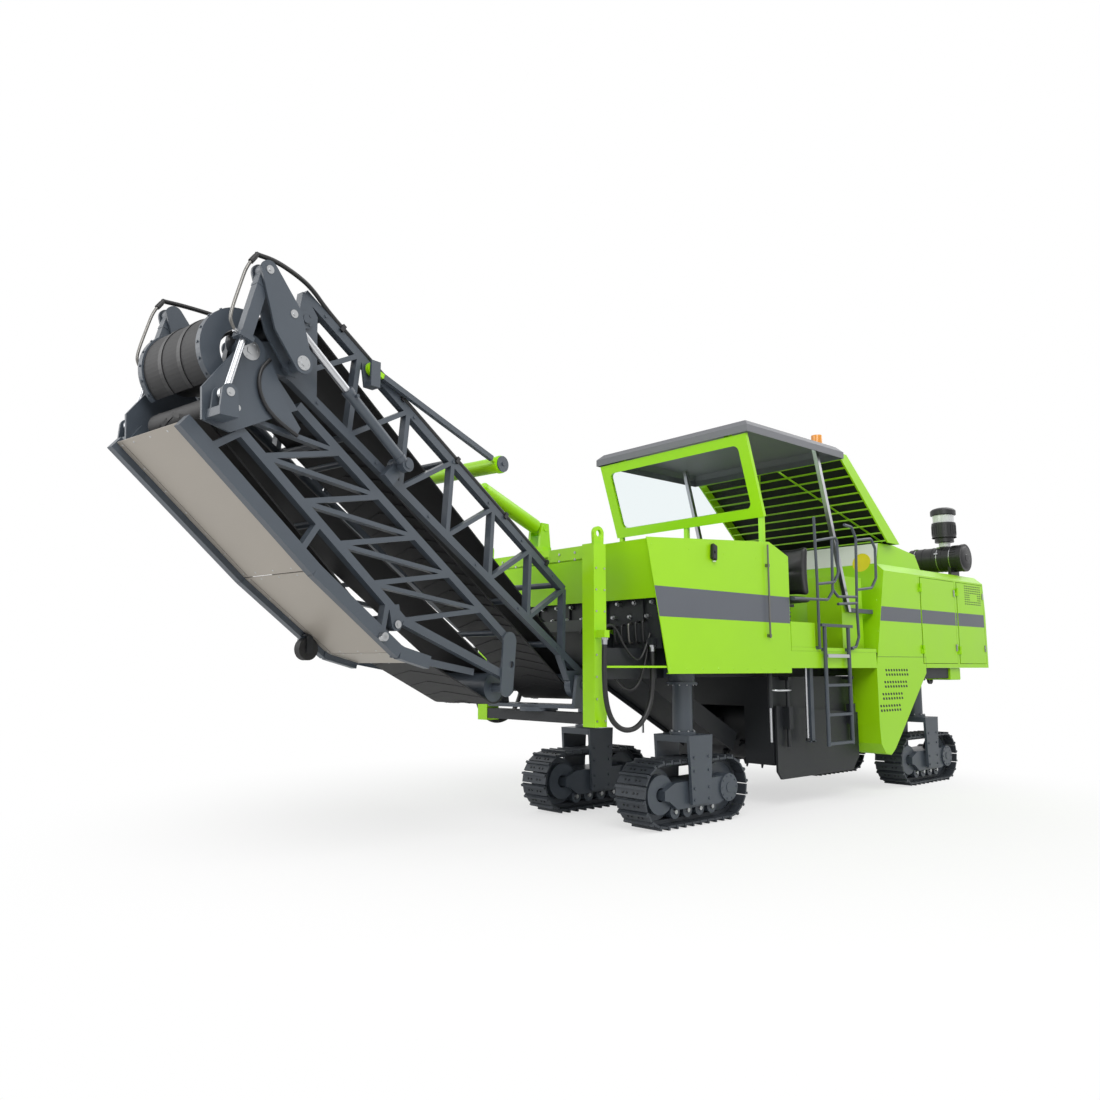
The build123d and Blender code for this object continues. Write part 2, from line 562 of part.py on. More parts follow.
DOOR_AXIS = HOOD_HALF + 18
DOOR_LOW = 1440
DOOR_HIGH = 2480
DOOR_HINGES = (1560, 2300)
DOOR_BAYS = ((DOOR_REAR, DOOR_FRONT), (REAR_DOOR_REAR, REAR_DOOR_FRONT))
with BuildPart() as engine_hood:
    with BuildSketch(Plane.YZ.offset(HOOD_FRONT)):
        outline(
            (-HOOD_HALF, HOOD_BOTTOM), (-HOOD_HALF, HOOD_SHOULDER), (-HOOD_HALF + 100, HOOD_ROOF),
            (HOOD_HALF - 100, HOOD_ROOF), (HOOD_HALF, HOOD_SHOULDER), (HOOD_HALF, HOOD_BOTTOM),
        )
    extrude(amount=HOOD_REAR - HOOD_FRONT)
    # the front wall leans back, the rear wall a little forwards
    with BuildSketch(side(0)):
        outline(
            (HOOD_FRONT, HOOD_BOTTOM), (HOOD_FRONT - HOOD_LEAN, HOOD_ROOF + 1),
            (HOOD_FRONT + 1, HOOD_ROOF + 1),
        )
        outline(
            (HOOD_REAR - 1, 2100), (HOOD_REAR, 2100),
            (HOOD_REAR + 50, HOOD_ROOF + 1), (HOOD_REAR - 1, HOOD_ROOF + 1),
        )
    extrude(amount=HOOD_HALF + 1, both=True, mode=Mode.SUBTRACT)
    # raised part that the louvres stand on
    with BuildSketch(side(0)):
        outline(
            (-3190, HOOD_ROOF - 20), (-3250, HOOD_TOP - RUN_GAP), (-3600, HOOD_TOP - RUN_GAP),
            (-4120, 2765), (-4260, HOOD_ROOF - 20),
        )
    extrude(amount=HOOD_HALF - 100, both=True)
    offset(amount=-SKIN, openings=engine_hood.faces().sort_by(Axis.Z)[0])
    # the front wall stands on the beams
    below = (1300, BEAM_TOP + RUN_GAP)
    block((HOOD_FRONT - 100, HOOD_FRONT + 1), (-PANEL_INSIDE, PANEL_INSIDE), below, mode=Mode.SUBTRACT)
    for half in (1, -1):
        wall = sorted((half * (HOOD_HALF - SKIN - 20), half * (HOOD_HALF + 20)))
        for rear, front in DOOR_BAYS:
            block((rear, front), wall, (DOOR_LOW, DOOR_HIGH), mode=Mode.SUBTRACT)
            # knuckles that the doors' pins hang in
            for z in DOOR_HINGES:
                knuckle = sorted((half * (HOOD_HALF - 2), half * (HOOD_HALF + 14)))
                block((front, front + 40), knuckle, (z, z + 50))
                with Locations((front, half * DOOR_AXIS, z + 25)):
                    Cylinder(16, 50)
                    Cylinder(10 + PIN_GAP, 60, mode=Mode.SUBTRACT)

doors = {}
for name, half, (rear, front) in (
    ("hood_door_left", 1, DOOR_BAYS[0]),
    ("hood_door_right", -1, DOOR_BAYS[0]),
    ("rear_door_left", 1, DOOR_BAYS[1]),
    ("rear_door_right", -1, DOOR_BAYS[1]),
):
    with BuildPart() as hood_door:
        skin = sorted((half * (HOOD_HALF - SKIN), half * HOOD_HALF))
        block((rear + 6, front - 22), skin, (DOOR_LOW + 6, DOOR_HIGH - 6))
        for z in DOOR_HINGES:
            arm = sorted((half * (HOOD_HALF - 4), half * (HOOD_HALF + 18)))
            block((front - 40, front), arm, (z + 51, z + 100))
            with Locations((front, half * DOOR_AXIS, z + 75.5)):
                Cylinder(16, 49)
            with Locations((front, half * DOOR_AXIS, z + 35)):
                Cylinder(10, 80)
    doors[name] = hood_door

with BuildPart() as engine_block:
    block((-5300, -3400), (-400, 400), (BEAM_TOP + RUN_GAP, 2350))

with BuildPart() as belt_guard:
    with BuildSketch(side(BODY_HALF)):
        outline(
            (HOOD_FRONT, HOOD_BOTTOM - RUN_GAP), (HOOD_FRONT - 5, 760), (-2925, 560), (-3010, 455),
            (-3130, 430), (-3230, 490), (-4060, 1330), (-4060, HOOD_BOTTOM - RUN_GAP),
        )
    extrude(amount=360)

with BuildPart() as roof_posts:
    for half in (1, -1):
        # leaning post from the hood's front edge to the roof, and the rail under the roof's side
        with BuildSketch(side(half * 900)):
            under_roof = ROOF_TOP - 6 - RUN_GAP
            outline((-2550, 2000), (-2500, 2000), (-1930, under_roof), (-1980, under_roof))
            outline((-2550, 2040), (-2550, 2000), (-3000, 2000), (-3010, 2040))
        extrude(amount=22, both=True)

CLEANER_X = -5400
CLEANER_Z = 2830
STACK_Y = 700
CLEANER_STEPS = ((970, 40, 182), (930, 120, 172), (810, 560, 165), (250, 130, 120))
STACK_STEPS = ((CLEANER_Z, 240, 70), (3060, 60, 120), (3120, 200, 150), (3320, 110, 130), (3430, 50, 160))
with BuildPart() as air_cleaner:
    for y, length, radius in CLEANER_STEPS:
        with BuildSketch(side(y)):
            with Locations((CLEANER_X, CLEANER_Z)):
                Circle(radius)
        extrude(amount=length)
    # intake stack: neck, clear bowl, lid
    for z, height, radius in STACK_STEPS:
        with BuildSketch(Plane.XY.offset(z)):
            with Locations((CLEANER_X, STACK_Y)):
                Circle(radius)
        extrude(amount=height)
    for y in (350, 800):
        block((CLEANER_X - 120, CLEANER_X + 120), (y - 20, y + 20), (HOOD_ROOF + RUN_GAP, CLEANER_Z - 60))

with BuildPart() as beacon:
    with BuildSketch(Plane.XY.offset(ROOF_TOP + RUN_GAP)):
        with Locations((-2150, 820)):
            Circle(60)
    extrude(amount=140)

with BuildPart() as seats:
    for half in (1, -1):
        block((-1700, -1350), sorted((half * 560, half * 960)), (2050, 2130))
        block((-1700, -1610), sorted((half * 560, half * 960)), (2130, 2560))
        block((-1600, -1450), sorted((half * 700, half * 820)), (1600 + RUN_GAP, 2060))

LADDER_SIDES = (-2262, -1802)
LADDER_Y = 1035
with BuildPart() as ladder:
    for half in (1, -1):
        for x in LADDER_SIDES:
            with BuildSketch(Plane.XY.offset(600)):
                with Locations((x, half * LADDER_Y)):
                    Circle(20)
            extrude(amount=1240)
            block((x - 25, x + 25), sorted((half * (1000 + RUN_GAP), half * LADDER_Y)), (1565, 1595))
        rung = sorted((half * (LADDER_Y - 18), half * (LADDER_Y + 18)))
        for z in (610, 900, 1200, 1500):
            block(LADDER_SIDES, rung, (z, z + 28))
        block((LADDER_SIDES[0] - 70, LADDER_SIDES[1] + 70), rung, (1815, 1845))

# handrails, each a bent tube in the ladder's plane
RAIL = 15
RAIL_BEND = 55
RAIL_LINES = (
    ((-1700, 1585), (-1700, 2290), (-1680, 2950)),
    ((-1262, 2079), (-1890, 2098), (-1990, 2190), (-2010, 2745)),
    ((-1695, 2249), (-2030, 2290), (-2115, 2390), (-2115, 2780), (-1690, 2700)),
    (
        (-2320, 1600), (-2410, 1612), (-2480, 1720), (-2465, 2006), (-2505, 2800),
        (-2430, 2920), (-2275, 2930),
    ),
    ((-2478, 2234), (-2800, 2275), (-2906, 2390), (-2916, 2730), (-2830, 2832), (-2506, 2782)),
    ((-1993, 2210), (-2090, 2140), (-2468, 2155)),
    ((-2085, 2061), (-2467, 2088)),
)
with BuildPart() as handrails:
    for half in (1, -1):
        for line in RAIL_LINES:
            with BuildLine(side(half * LADDER_Y)) as rail:
                if len(line) > 2:
                    FilletPolyline(*line, radius=RAIL_BEND)
                else:
                    Polyline(*line)
            with BuildSketch(Plane(origin=rail.line @ 0, z_dir=rail.line % 0)):
                Circle(RAIL)
            sweep(path=rail.line)
        # feet on the platform's edge, and on the side panel
        for x, z in ((-1700, 1580), (-2335, 1580), (-1275, 2063)):
            block((x - 20, x + 20), sorted((half * (1000 + RUN_GAP), half * (LADDER_Y + 5))), (z, z + 32))

# ---- discharge conveyor ----
with BuildPart() as slew_bracket:
    with BuildSketch(Plane.XY.offset(SLEW_BEAM[1] + RUN_GAP)):
        with Locations((KINGPIN_X, 0)):
            Circle(170)
    extrude(amount=36)
    with BuildSketch(Plane.XY.offset(SLEW_BEAM[1] - 60)):
        with Locations((KINGPIN_X, 0)):
            Circle(50)
    extrude(amount=80)
    foot = Plane(origin=(KINGPIN_X, 0, SLEW_BEAM[1] + 30), x_dir=CONVEYOR.x_dir, z_dir=(0, 0, 1))
    with BuildSketch(foot):
        Rectangle(260, 2 * EAR_OUTER)
    extrude(amount=30)
    for half in (1, -1):
        with BuildSketch(belt_side(half * (EAR_OUTER + EAR_INNER) / 2)):
            outline((-130, SLEW_BEAM[1] + 35), (130, SLEW_BEAM[1] + 35), (80, 1330), (-80, 1330))
            with Locations(LUFF_PIVOT):
                Circle(PIVOT_RADIUS + PIN_GAP, mode=Mode.SUBTRACT)
        extrude(amount=(EAR_OUTER - EAR_INNER) / 2, both=True)

# ---- hoist: a swivel on the portal, one cylinder and a cross tube with two stay rods ----
HOIST_RUN = CONVEYOR.from_local_coords((STAY_EYE[0] - HOIST_PIVOT[0], STAY_EYE[1] - HOIST_PIVOT[1], 0))
HOIST_AXIS = Plane(
    origin=CONVEYOR.from_local_coords((*HOIST_PIVOT, 0)), z_dir=HOIST_RUN - CONVEYOR.origin
)
with BuildPart() as hoist_swivel:
    with BuildSketch(Plane.XY.offset(PORTAL_TOP - 60)):
        with Locations((KINGPIN_X, 0)):
            Circle(50)
    extrude(amount=80)
    with BuildSketch(Plane.XY.offset(PORTAL_TOP + RUN_GAP)):
        with Locations((KINGPIN_X, 0)):
            Circle(110)
    extrude(amount=40)
    for half in (1, -1):
        with BuildSketch(belt_side(half * 60)):
            outline(
                (-80, PORTAL_TOP + 20), (80, PORTAL_TOP + 20),
                (50, HOIST_PIVOT[1] + 50), (-50, HOIST_PIVOT[1] + 50),
            )
        extrude(amount=12, both=True)
    with BuildSketch(belt_side(0)):
        with Locations(HOIST_PIVOT):
            Circle(25)
    extrude(amount=80, both=True)

with BuildPart() as hoist_barrel:
    with BuildSketch(HOIST_AXIS.offset(70)):
        Circle(65)
    extrude(amount=HOIST_BARREL - 70)
    with BuildSketch(HOIST_AXIS.offset(20)):
        Circle(45)
    extrude(amount=60)
    with BuildSketch(belt_side(0)):
        with Locations(HOIST_PIVOT):
            Circle(55)
    extrude(amount=40, both=True)
    with BuildSketch(belt_side(0)):
        with Locations(HOIST_PIVOT):
            Circle(25 + PIN_GAP)
    extrude(amount=60, both=True, mode=Mode.SUBTRACT)
    with BuildSketch(HOIST_AXIS.offset(110)):
        Circle(HOIST_ROD + RUN_GAP)
    extrude(amount=HOIST_BARREL, mode=Mode.SUBTRACT)

with BuildPart() as hoist_yoke:
    with BuildSketch(HOIST_AXIS.offset(350)):
        Circle(HOIST_ROD)
    extrude(amount=YOKE_REACH - 350)
    with BuildSketch(belt_side(0)):
        with Locations(YOKE_AT):
            Circle(62)
    extrude(amount=STAY_PLANE + 30, both=True)
    for half in (1, -1):
        with BuildSketch(belt_side(half * STAY_PLANE)):
            strip(YOKE_AT, STAY_EYE, 34)
            with Locations(STAY_EYE):
                Circle(48)
                Circle(22, mode=Mode.SUBTRACT)
            with Locations(YOKE_AT):
                Circle(70)
        extrude(amount=15, both=True)

# ---- inner section: truss sides, belt round its pulleys and the slack loop at the fold ----
TAIL_PULLEY = (-190, 1235)
HEAD_PULLEY = (2900, 3608)
BEND_ROLLER = (2900, 3335)
SLACK_RADIUS = 140
BELT = 12
with BuildPart() as conveyor_frame:
    low_start = along(INNER_LOW[0], INNER_LOW[1], 0.18)
    for half in (1, -1):
        with BuildSketch(belt_side(half * TRUSS_HALF)):
            strip(INNER_TOP[0], INNER_TOP[1], CHORD)
            strip(INNER_LOW[0], INNER_LOW[1], CHORD)
            for bay in range(BAYS + 1):
                head = along(INNER_TOP[0], INNER_TOP[1], bay / BAYS)
                strip(along(low_start, INNER_LOW[1], bay / BAYS), head, 40)
                if bay < BAYS:
                    strip(head, along(low_start, INNER_LOW[1], (bay + 1) / BAYS), 34)
            outline((-440, 1100), (-430, 1365), (150, 1370), (230, 1560), (300, 1600), (120, 1290))
            # end plate with the arm that carries the fold hinge
            outline(
                INNER_TOP[1], (2980, 3430), (FOLD_HINGE[0] - 20, FOLD_HINGE[1] + 70),
                (FOLD_HINGE[0] - 20, FOLD_HINGE[1] - 70), (3040, 3200),
                (INNER_LOW[1][0] - 200, INNER_LOW[1][1] - 110), (2800, 3660),
            )
            with Locations(FOLD_HINGE):
                Circle(75)
            with Locations(LUFF_PIVOT):
                Circle(110)
            with Locations(FOLD_HINGE):
                Circle(PIVOT_RADIUS + PIN_GAP, mode=Mode.SUBTRACT)
        extrude(amount=CHORD / 2, both=True)
        # bracket beside the stay rod's eye
        with BuildSketch(belt_side(half * (TRUSS_HALF + CHORD / 2 - 7))):
            outline(
                (STAY_EYE[0] - 70, 3380), (STAY_EYE[0] + 70, 3460),
                (STAY_EYE[0] + 40, 3290), (STAY_EYE[0] - 40, 3290),
            )
        extrude(amount=7, both=True)
        for reach, low, high in ((TRUSS_HALF + CHORD / 2 - 2, 3290, 3325), (STAY_PLANE + 25, 3290, 3470)):
            with BuildSketch(belt_side(half * (STAY_PLANE + 40))):
                with Locations((STAY_EYE[0], (low + high) / 2)):
                    Rectangle(80, high - low)
            extrude(amount=half * (STAY_PLANE + 40 - reach))
        # bracket for the fold cylinder's foot
        with BuildSketch(belt_side(half * (TRUSS_HALF + CHORD / 2 + 25))):
            with Locations(FOLD_CYLINDER_FOOT):
                Circle(60)
            strip(FOLD_CYLINDER_FOOT, (FOLD_CYLINDER_FOOT[0] + 90, FOLD_CYLINDER_FOOT[1] - 110), 100)
        extrude(amount=30, both=True)
    for chord, share in (
        (INNER_TOP, 0.02), (INNER_TOP, 0.5), (INNER_TOP, 0.94),
        (INNER_LOW, 0.22), (INNER_LOW, 0.38), (INNER_LOW, 0.86),
    ):
        with BuildSketch(belt_side(0)):
            with Locations(along(chord[0], chord[1], share)):
                Circle(25)
        extrude(amount=TRUSS_HALF, both=True)
    # shafts of the pulleys
    for spot, size in ((TAIL_PULLEY, 35), (HEAD_PULLEY, 35), (BEND_ROLLER, 25)):
        with BuildSketch(belt_side(0)):
            with Locations(spot):
                Circle(size)
        extrude(amount=TRUSS_HALF, both=True)
    for spot, size in ((TAIL_PULLEY, 105), (HEAD_PULLEY, 110), (BEND_ROLLER, 60)):
        with BuildSketch(belt_side(0)):
            with Locations(spot):
                Circle(size - RUN_GAP)
        extrude(amount=BELT_WIDTH / 2 - 5, both=True)

# pins that stand out from the inner section's sides
TRUSS_FACE = TRUSS_HALF + CHORD / 2 + RUN_GAP
with BuildPart() as conveyor_pins:
    for half in (1, -1):
        for spot, start, reach, radius in (
            (LUFF_PIVOT, TRUSS_FACE, EAR_OUTER + 12, PIVOT_RADIUS),
            (LEVER_PIVOT, TRUSS_FACE, LEVER_PLANE + LEVER_GAP + 10, PIVOT_RADIUS),
            (FOLD_CYLINDER_FOOT, TRUSS_FACE + 55, LEVER_PLANE + 36, 28),
        ):
            with BuildSketch(belt_side(half * reach)):
                with Locations(spot):
                    Circle(radius)
            extrude(amount=half * (reach - start))

with BuildPart() as conveyor_belt:
    for grow, mode in ((BELT, Mode.ADD), (0, Mode.SUBTRACT)):
        with BuildSketch(belt_side(0)):
            with BuildSketch():
                with Locations(TAIL_PULLEY):
                    Circle(105 + grow)
                with Locations(HEAD_PULLEY):
                    Circle(110 + grow)
                with Locations(BEND_ROLLER):
                    Circle(60 + grow)
                make_hull()
            with BuildSketch():
                with Locations(HEAD_PULLEY):
                    Circle(110 + grow)
                with Locations(BEND_ROLLER):
                    Circle(60 + grow)
                with Locations(FOLD_HINGE):
                    Circle(SLACK_RADIUS - BELT + grow)
                make_hull()
        extrude(amount=BELT_WIDTH / 2, both=True, mode=mode)

# ---- tip section, folded back under the inner one ----
TIP_TAIL = (3427, 2914)
TIP_BEND = (2060, 1690)
TIP_PULLEY = (930, 1240)
with BuildPart() as tip_frame:
    for half in (1, -1):
        with BuildSketch(belt_side(half * TRUSS_HALF)):
            strip(TIP_UPPER[0], TIP_UPPER[1], CHORD)
            strip(TIP_LOWER[0], TIP_LOWER[1], CHORD)
            strip(TIP_LOWER[1], TIP_LOWER[2], CHORD)
            strip(TIP_UPPER[1], TIP_LOWER[2], CHORD)
            for bay in range(1, 6):
                strip(along(*TIP_UPPER, bay / 6), along(TIP_LOWER[0], TIP_LOWER[1], bay / 5), 36)
            for bay in range(5):
                strip(along(*TIP_UPPER, (bay + 1) / 6), along(TIP_LOWER[0], TIP_LOWER[1], bay / 5), 30)
            # bearing of the bend roller, hung from the chord above it
            strip(TIP_BEND, (TIP_BEND[0] + 30, TIP_BEND[1] + 130), 90)
            with Locations(TIP_BEND):
                Circle(45)
            # side boards beside the cover
            for start, end in zip(COVER_LINE, COVER_LINE[1:]):
                strip(start, end, 90)
            for spot in (0.1, 0.5, 0.9):
                upper = along(TIP_LOWER[0], TIP_LOWER[1], spot)
                strip(upper, along(COVER_LINE[0], COVER_LINE[2], spot), 40)
        extrude(amount=CHORD / 2, both=True)
        # hinge plate outside the inner section's side
        with BuildSketch(belt_side(half * PLATE_PLANE)):
            outline(
                (FOLD_HINGE[0] - 95, FOLD_HINGE[1] - 20), (FOLD_HINGE[0] + 95, FOLD_HINGE[1] - 20),
                (3590, 2990), (3580, 2800), (3400, 2760), (2940, 3000),
            )
            with Locations(FOLD_HINGE):
                Circle(100)
        extrude(amount=10, both=True)
        with BuildSketch(belt_side(half * (PLATE_PLANE + 5))):
            with Locations(FOLD_HINGE):
                Circle(PIVOT_RADIUS)
        extrude(amount=half * 75)
        with BuildSketch(belt_side(half * (PLATE_PLANE - 10))):
            outline((3380, 2820), (3560, 2840), (3500, 2930), (3330, 2900))
        extrude(amount=half * (PLATE_PLANE - TRUSS_HALF - 15))
        # ears that hold the link cylinder's eye, one on each side of it
        for ear in (LEVER_PLANE - EAR_GAP, LEVER_PLANE + EAR_GAP):
            with BuildSketch(belt_side(half * ear)):
                with Locations(LINK_EYE):
                    Circle(50)
                outline((3440, 2840), (3560, 2840), (3550, 2960), (3450, 2960))
            extrude(amount=8, both=True)
        with BuildSketch(belt_side(half * (PLATE_PLANE + LEVER_PLANE + EAR_GAP + 8) / 2)):
            outline((3440, 2810), (3560, 2810), (3560, 2860), (3440, 2860))
        extrude(amount=(LEVER_PLANE + EAR_GAP + 8 - PLATE_PLANE) / 2, both=True)
    for chord, share in ((TIP_UPPER, 0.2), (TIP_UPPER, 0.95), (TIP_LOWER, 0.5)):
        with BuildSketch(belt_side(0)):
            with Locations(along(chord[0], chord[1], share)):
                Circle(22)
        extrude(amount=TRUSS_HALF, both=True)
    for spot, shaft, size in ((TIP_TAIL, 30, 70), (TIP_BEND, 25, 60), (TIP_PULLEY, 35, 115)):
        with BuildSketch(belt_side(0)):
            with Locations(spot):
                Circle(shaft)
        extrude(amount=TRUSS_HALF + 40, both=True)
        with BuildSketch(belt_side(0)):
            with Locations(spot):
                Circle(size - RUN_GAP)
        extrude(amount=BELT_WIDTH / 2 - 5, both=True)
    for half in (1, -1):
        # link plate between the chords' lower ends and the last pulley
        with BuildSketch(belt_side(half * (TRUSS_HALF + CHORD / 2))):
            with BuildSketch():
                with Locations((900, 1600)):
                    Circle(75)
                with Locations(TIP_PULLEY):
                    Circle(70)
                make_hull()
            with Locations((880, 1420)):
                Circle(28, mode=Mode.SUBTRACT)
        extrude(amount=-half * 16)

with BuildPart() as tip_belt:
    for grow, mode in ((BELT, Mode.ADD), (0, Mode.SUBTRACT)):
        with BuildSketch(belt_side(0)):
            with Locations(TIP_TAIL):
                Circle(70 + grow)
            with Locations(TIP_BEND):
                Circle(60 + grow)
            with Locations(TIP_PULLEY):
                Circle(115 + grow)
            make_hull()
        extrude(amount=BELT_WIDTH / 2, both=True, mode=mode)

with BuildPart() as tip_covers:
    for start, end in zip(COVER_LINE, COVER_LINE[1:]):
        with BuildSketch(belt_side(0)):
            strip(along(start, end, 0.004), along(start, end, 0.996), 5)
        extrude(amount=TRUSS_HALF - CHORD / 2 - RUN_GAP, both=True)

# ---- fold mechanism: levers on the inner section, pushed by two cylinders, pull the tip over ----
with BuildPart() as fold_levers:
    for half in (1, -1):
        for plate in (LEVER_PLANE - LEVER_GAP, LEVER_PLANE + LEVER_GAP):
            with BuildSketch(belt_side(half * plate)):
                with BuildSketch():
                    with Locations(LEVER_TOP):
                        Circle(58)
                    with Locations(LEVER_KNEE):
                        Circle(15)
                    with Locations(LEVER_EYE):
                        Circle(62)
                    with Locations(LEVER_PIVOT):
                        Circle(66)
                    make_hull()
                with Locations(LEVER_PIVOT):
                    Circle(PIVOT_RADIUS + PIN_GAP, mode=Mode.SUBTRACT)
            extrude(amount=8, both=True)
        with BuildSketch(belt_side(half * LEVER_PLANE)):
            with Locations(LEVER_TOP):
                Circle(22)
        extrude(amount=LEVER_GAP + 8, both=True)

LINK_RUN = (LINK_EYE[0] - LEVER_TOP[0], LINK_EYE[1] - LEVER_TOP[1])
LINK_LENGTH = hypot(*LINK_RUN)
LINK_BARREL = 480
FOLD_RUN = (LEVER_EYE[0] - FOLD_CYLINDER_FOOT[0], LEVER_EYE[1] - FOLD_CYLINDER_FOOT[1])
FOLD_LENGTH = hypot(*FOLD_RUN)
FOLD_BARREL = 660


def cylinder_axis(foot, head, y):
    """Plane square to a cylinder in the conveyor, at its foot."""
    low = CONVEYOR.from_local_coords((*foot, -y))
    return Plane(origin=low, x_dir=CONVEYOR.z_dir, z_dir=CONVEYOR.from_local_coords((*head, -y)) - low)


with BuildPart() as link_barrels:
    for half in (1, -1):
        axis = cylinder_axis(LEVER_TOP, LINK_EYE, half * LEVER_PLANE)
        with BuildSketch(axis.offset(30)):
            Rectangle(64, 74)
        extrude(amount=LINK_BARREL - 30)
        with BuildSketch(belt_side(half * LEVER_PLANE)):
            with Locations(LEVER_TOP):
                Circle(46)
        extrude(amount=30, both=True)
        with BuildSketch(belt_side(half * LEVER_PLANE)):
            with Locations(LEVER_TOP):
                Circle(22 + PIN_GAP)
        extrude(amount=60, both=True, mode=Mode.SUBTRACT)
        with BuildSketch(axis.offset(60)):
            Circle(20 + RUN_GAP)
        extrude(amount=LINK_BARREL, mode=Mode.SUBTRACT)

with BuildPart() as link_rods:
    for half in (1, -1):
        axis = cylinder_axis(LEVER_TOP, LINK_EYE, half * LEVER_PLANE)
        with BuildSketch(axis.offset(420)):
            Circle(20)
        extrude(amount=LINK_LENGTH - 420 - 30)
        with BuildSketch(belt_side(half * LEVER_PLANE)):
            with Locations(LINK_EYE):
                Circle(42)
                Circle(20, mode=Mode.SUBTRACT)
        extrude(amount=14, both=True)

with BuildPart() as fold_barrels:
    for half in (1, -1):
        axis = cylinder_axis(FOLD_CYLINDER_FOOT, LEVER_EYE, half * LEVER_PLANE)
        with BuildSketch(axis.offset(40)):
            Circle(36)
        extrude(amount=FOLD_BARREL - 40)
        with BuildSketch(belt_side(half * LEVER_PLANE)):
            with Locations(FOLD_CYLINDER_FOOT):
                Circle(50)
        extrude(amount=28, both=True)
        with BuildSketch(belt_side(half * LEVER_PLANE)):
            with Locations(FOLD_CYLINDER_FOOT):
                Circle(28 + PIN_GAP)
        extrude(amount=60, both=True, mode=Mode.SUBTRACT)
        with BuildSketch(axis.offset(70)):
            Circle(26 + RUN_GAP)
        extrude(amount=FOLD_BARREL, mode=Mode.SUBTRACT)

with BuildPart() as fold_rods:
    for half in (1, -1):
        axis = cylinder_axis(FOLD_CYLINDER_FOOT, LEVER_EYE, half * LEVER_PLANE)
        with BuildSketch(axis.offset(570)):
            Circle(26)
        extrude(amount=FOLD_LENGTH - 570 - 25)
        with BuildSketch(belt_side(half * LEVER_PLANE)):
            with Locations(LEVER_EYE):
                Circle(42)
                Circle(20, mode=Mode.SUBTRACT)
        extrude(amount=16, both=True)

nodes = {
    "main_frame": main_frame.part,
    "leg_sleeves": leg_sleeves.part,
    "drum_housing": drum_housing.part,
    "milling_drum": milling_drum.part,
    "scraper": scraper.part,
    "front_portal": front_portal.part,
    "pump_bay": pump_bay.part,
    "side_panels": side_panels.part,
    "front_deck": front_deck.part,
    "operator_platform": operator_platform.part,
    "platform_panels": platform_panels.part,
    "handrails": handrails.part,
    "windscreen_frame": windscreen_frame.part,
    "windscreen_glass": windscreen_glass.part,
    "roof": roof.part,
    "louvre_panel": louvre_panel.part,
    "engine_hood": engine_hood.part,
    "engine_block": engine_block.part,
    "belt_guard": belt_guard.part,
    "roof_posts": roof_posts.part,
    "air_cleaner": air_cleaner.part,
    "beacon": beacon.part,
    "seats": seats.part,
    "ladder": ladder.part,
    "feed_conveyor": feed_conveyor.part,
    "slew_bracket": slew_bracket.part,
    "hoist_swivel": hoist_swivel.part,
    "hoist_barrel": hoist_barrel.part,
    "hoist_yoke": hoist_yoke.part,
    "conveyor_frame": conveyor_frame.part,
    "conveyor_pins": conveyor_pins.part,
    "conveyor_belt": conveyor_belt.part,
    "tip_frame": tip_frame.part,
    "tip_belt": tip_belt.part,
    "tip_covers": tip_covers.part,
    "fold_levers": fold_levers.part,
    "link_barrels": link_barrels.part,
    "link_rods": link_rods.part,
    "fold_barrels": fold_barrels.part,
    "fold_rods": fold_rods.part,
}
nodes.update({name: built.part for name, built in {**hoses, **side_plates, **doors}.items()})
for corner, (x, half) in CORNERS.items():
    place = Location((x, half * TRACK_OFFSET, 0))
    for kind, built in (("track", track), ("track_frame", track_frame), ("leg_column", leg_column)):
        nodes[f"{kind}_{corner}"] = built.part.moved(place)

# ---- the origin goes on the ground under the middle of the machine ----
boxes = [shape.bounding_box() for shape in nodes.values()]
MIDDLE_X = round((min(box.min.X for box in boxes) + max(box.max.X for box in boxes)) / 2)
MIDDLE_Y = round((min(box.min.Y for box in boxes) + max(box.max.Y for box in boxes)) / 2)
LOWEST = min(box.min.Z for box in boxes)
for name, shape in nodes.items():
    placed = shape.moved(Location((-MIDDLE_X, -MIDDLE_Y, -LOWEST)))
    placed.label = name
    export_step(placed, f"parts/{name}.step")
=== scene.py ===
"""Looks of the cold planer: finishes for every CAD piece, small fastenings and fittings, and a plain studio.

Places are in millimetres: at() counts them from the front leg columns, and on_belt() in the conveyor's own
upright plane, which is turned about the kingpin. Radii, heights and slab sizes are in metres.
"""

import math

import bmesh
import bpy
from mathutils import Matrix, Vector


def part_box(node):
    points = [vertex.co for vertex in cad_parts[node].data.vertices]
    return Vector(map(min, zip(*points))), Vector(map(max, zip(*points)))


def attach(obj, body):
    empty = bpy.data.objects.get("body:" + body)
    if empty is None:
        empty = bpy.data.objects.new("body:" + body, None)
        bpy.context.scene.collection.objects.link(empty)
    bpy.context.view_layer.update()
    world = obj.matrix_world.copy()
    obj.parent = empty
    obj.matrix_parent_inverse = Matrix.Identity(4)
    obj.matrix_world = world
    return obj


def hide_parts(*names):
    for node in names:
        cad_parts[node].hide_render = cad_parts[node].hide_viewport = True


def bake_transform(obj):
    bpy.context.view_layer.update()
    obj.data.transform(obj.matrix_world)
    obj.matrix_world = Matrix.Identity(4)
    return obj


bl_info = {
    "name": "Cold planer looks",
    "version": (1, 0, 0),
    "blender": (4, 5, 0),
    "location": "View3D > Sidebar > Planer",
    "description": "Finishes, fastenings and studio for the cold planer",
    "category": "Object",
}

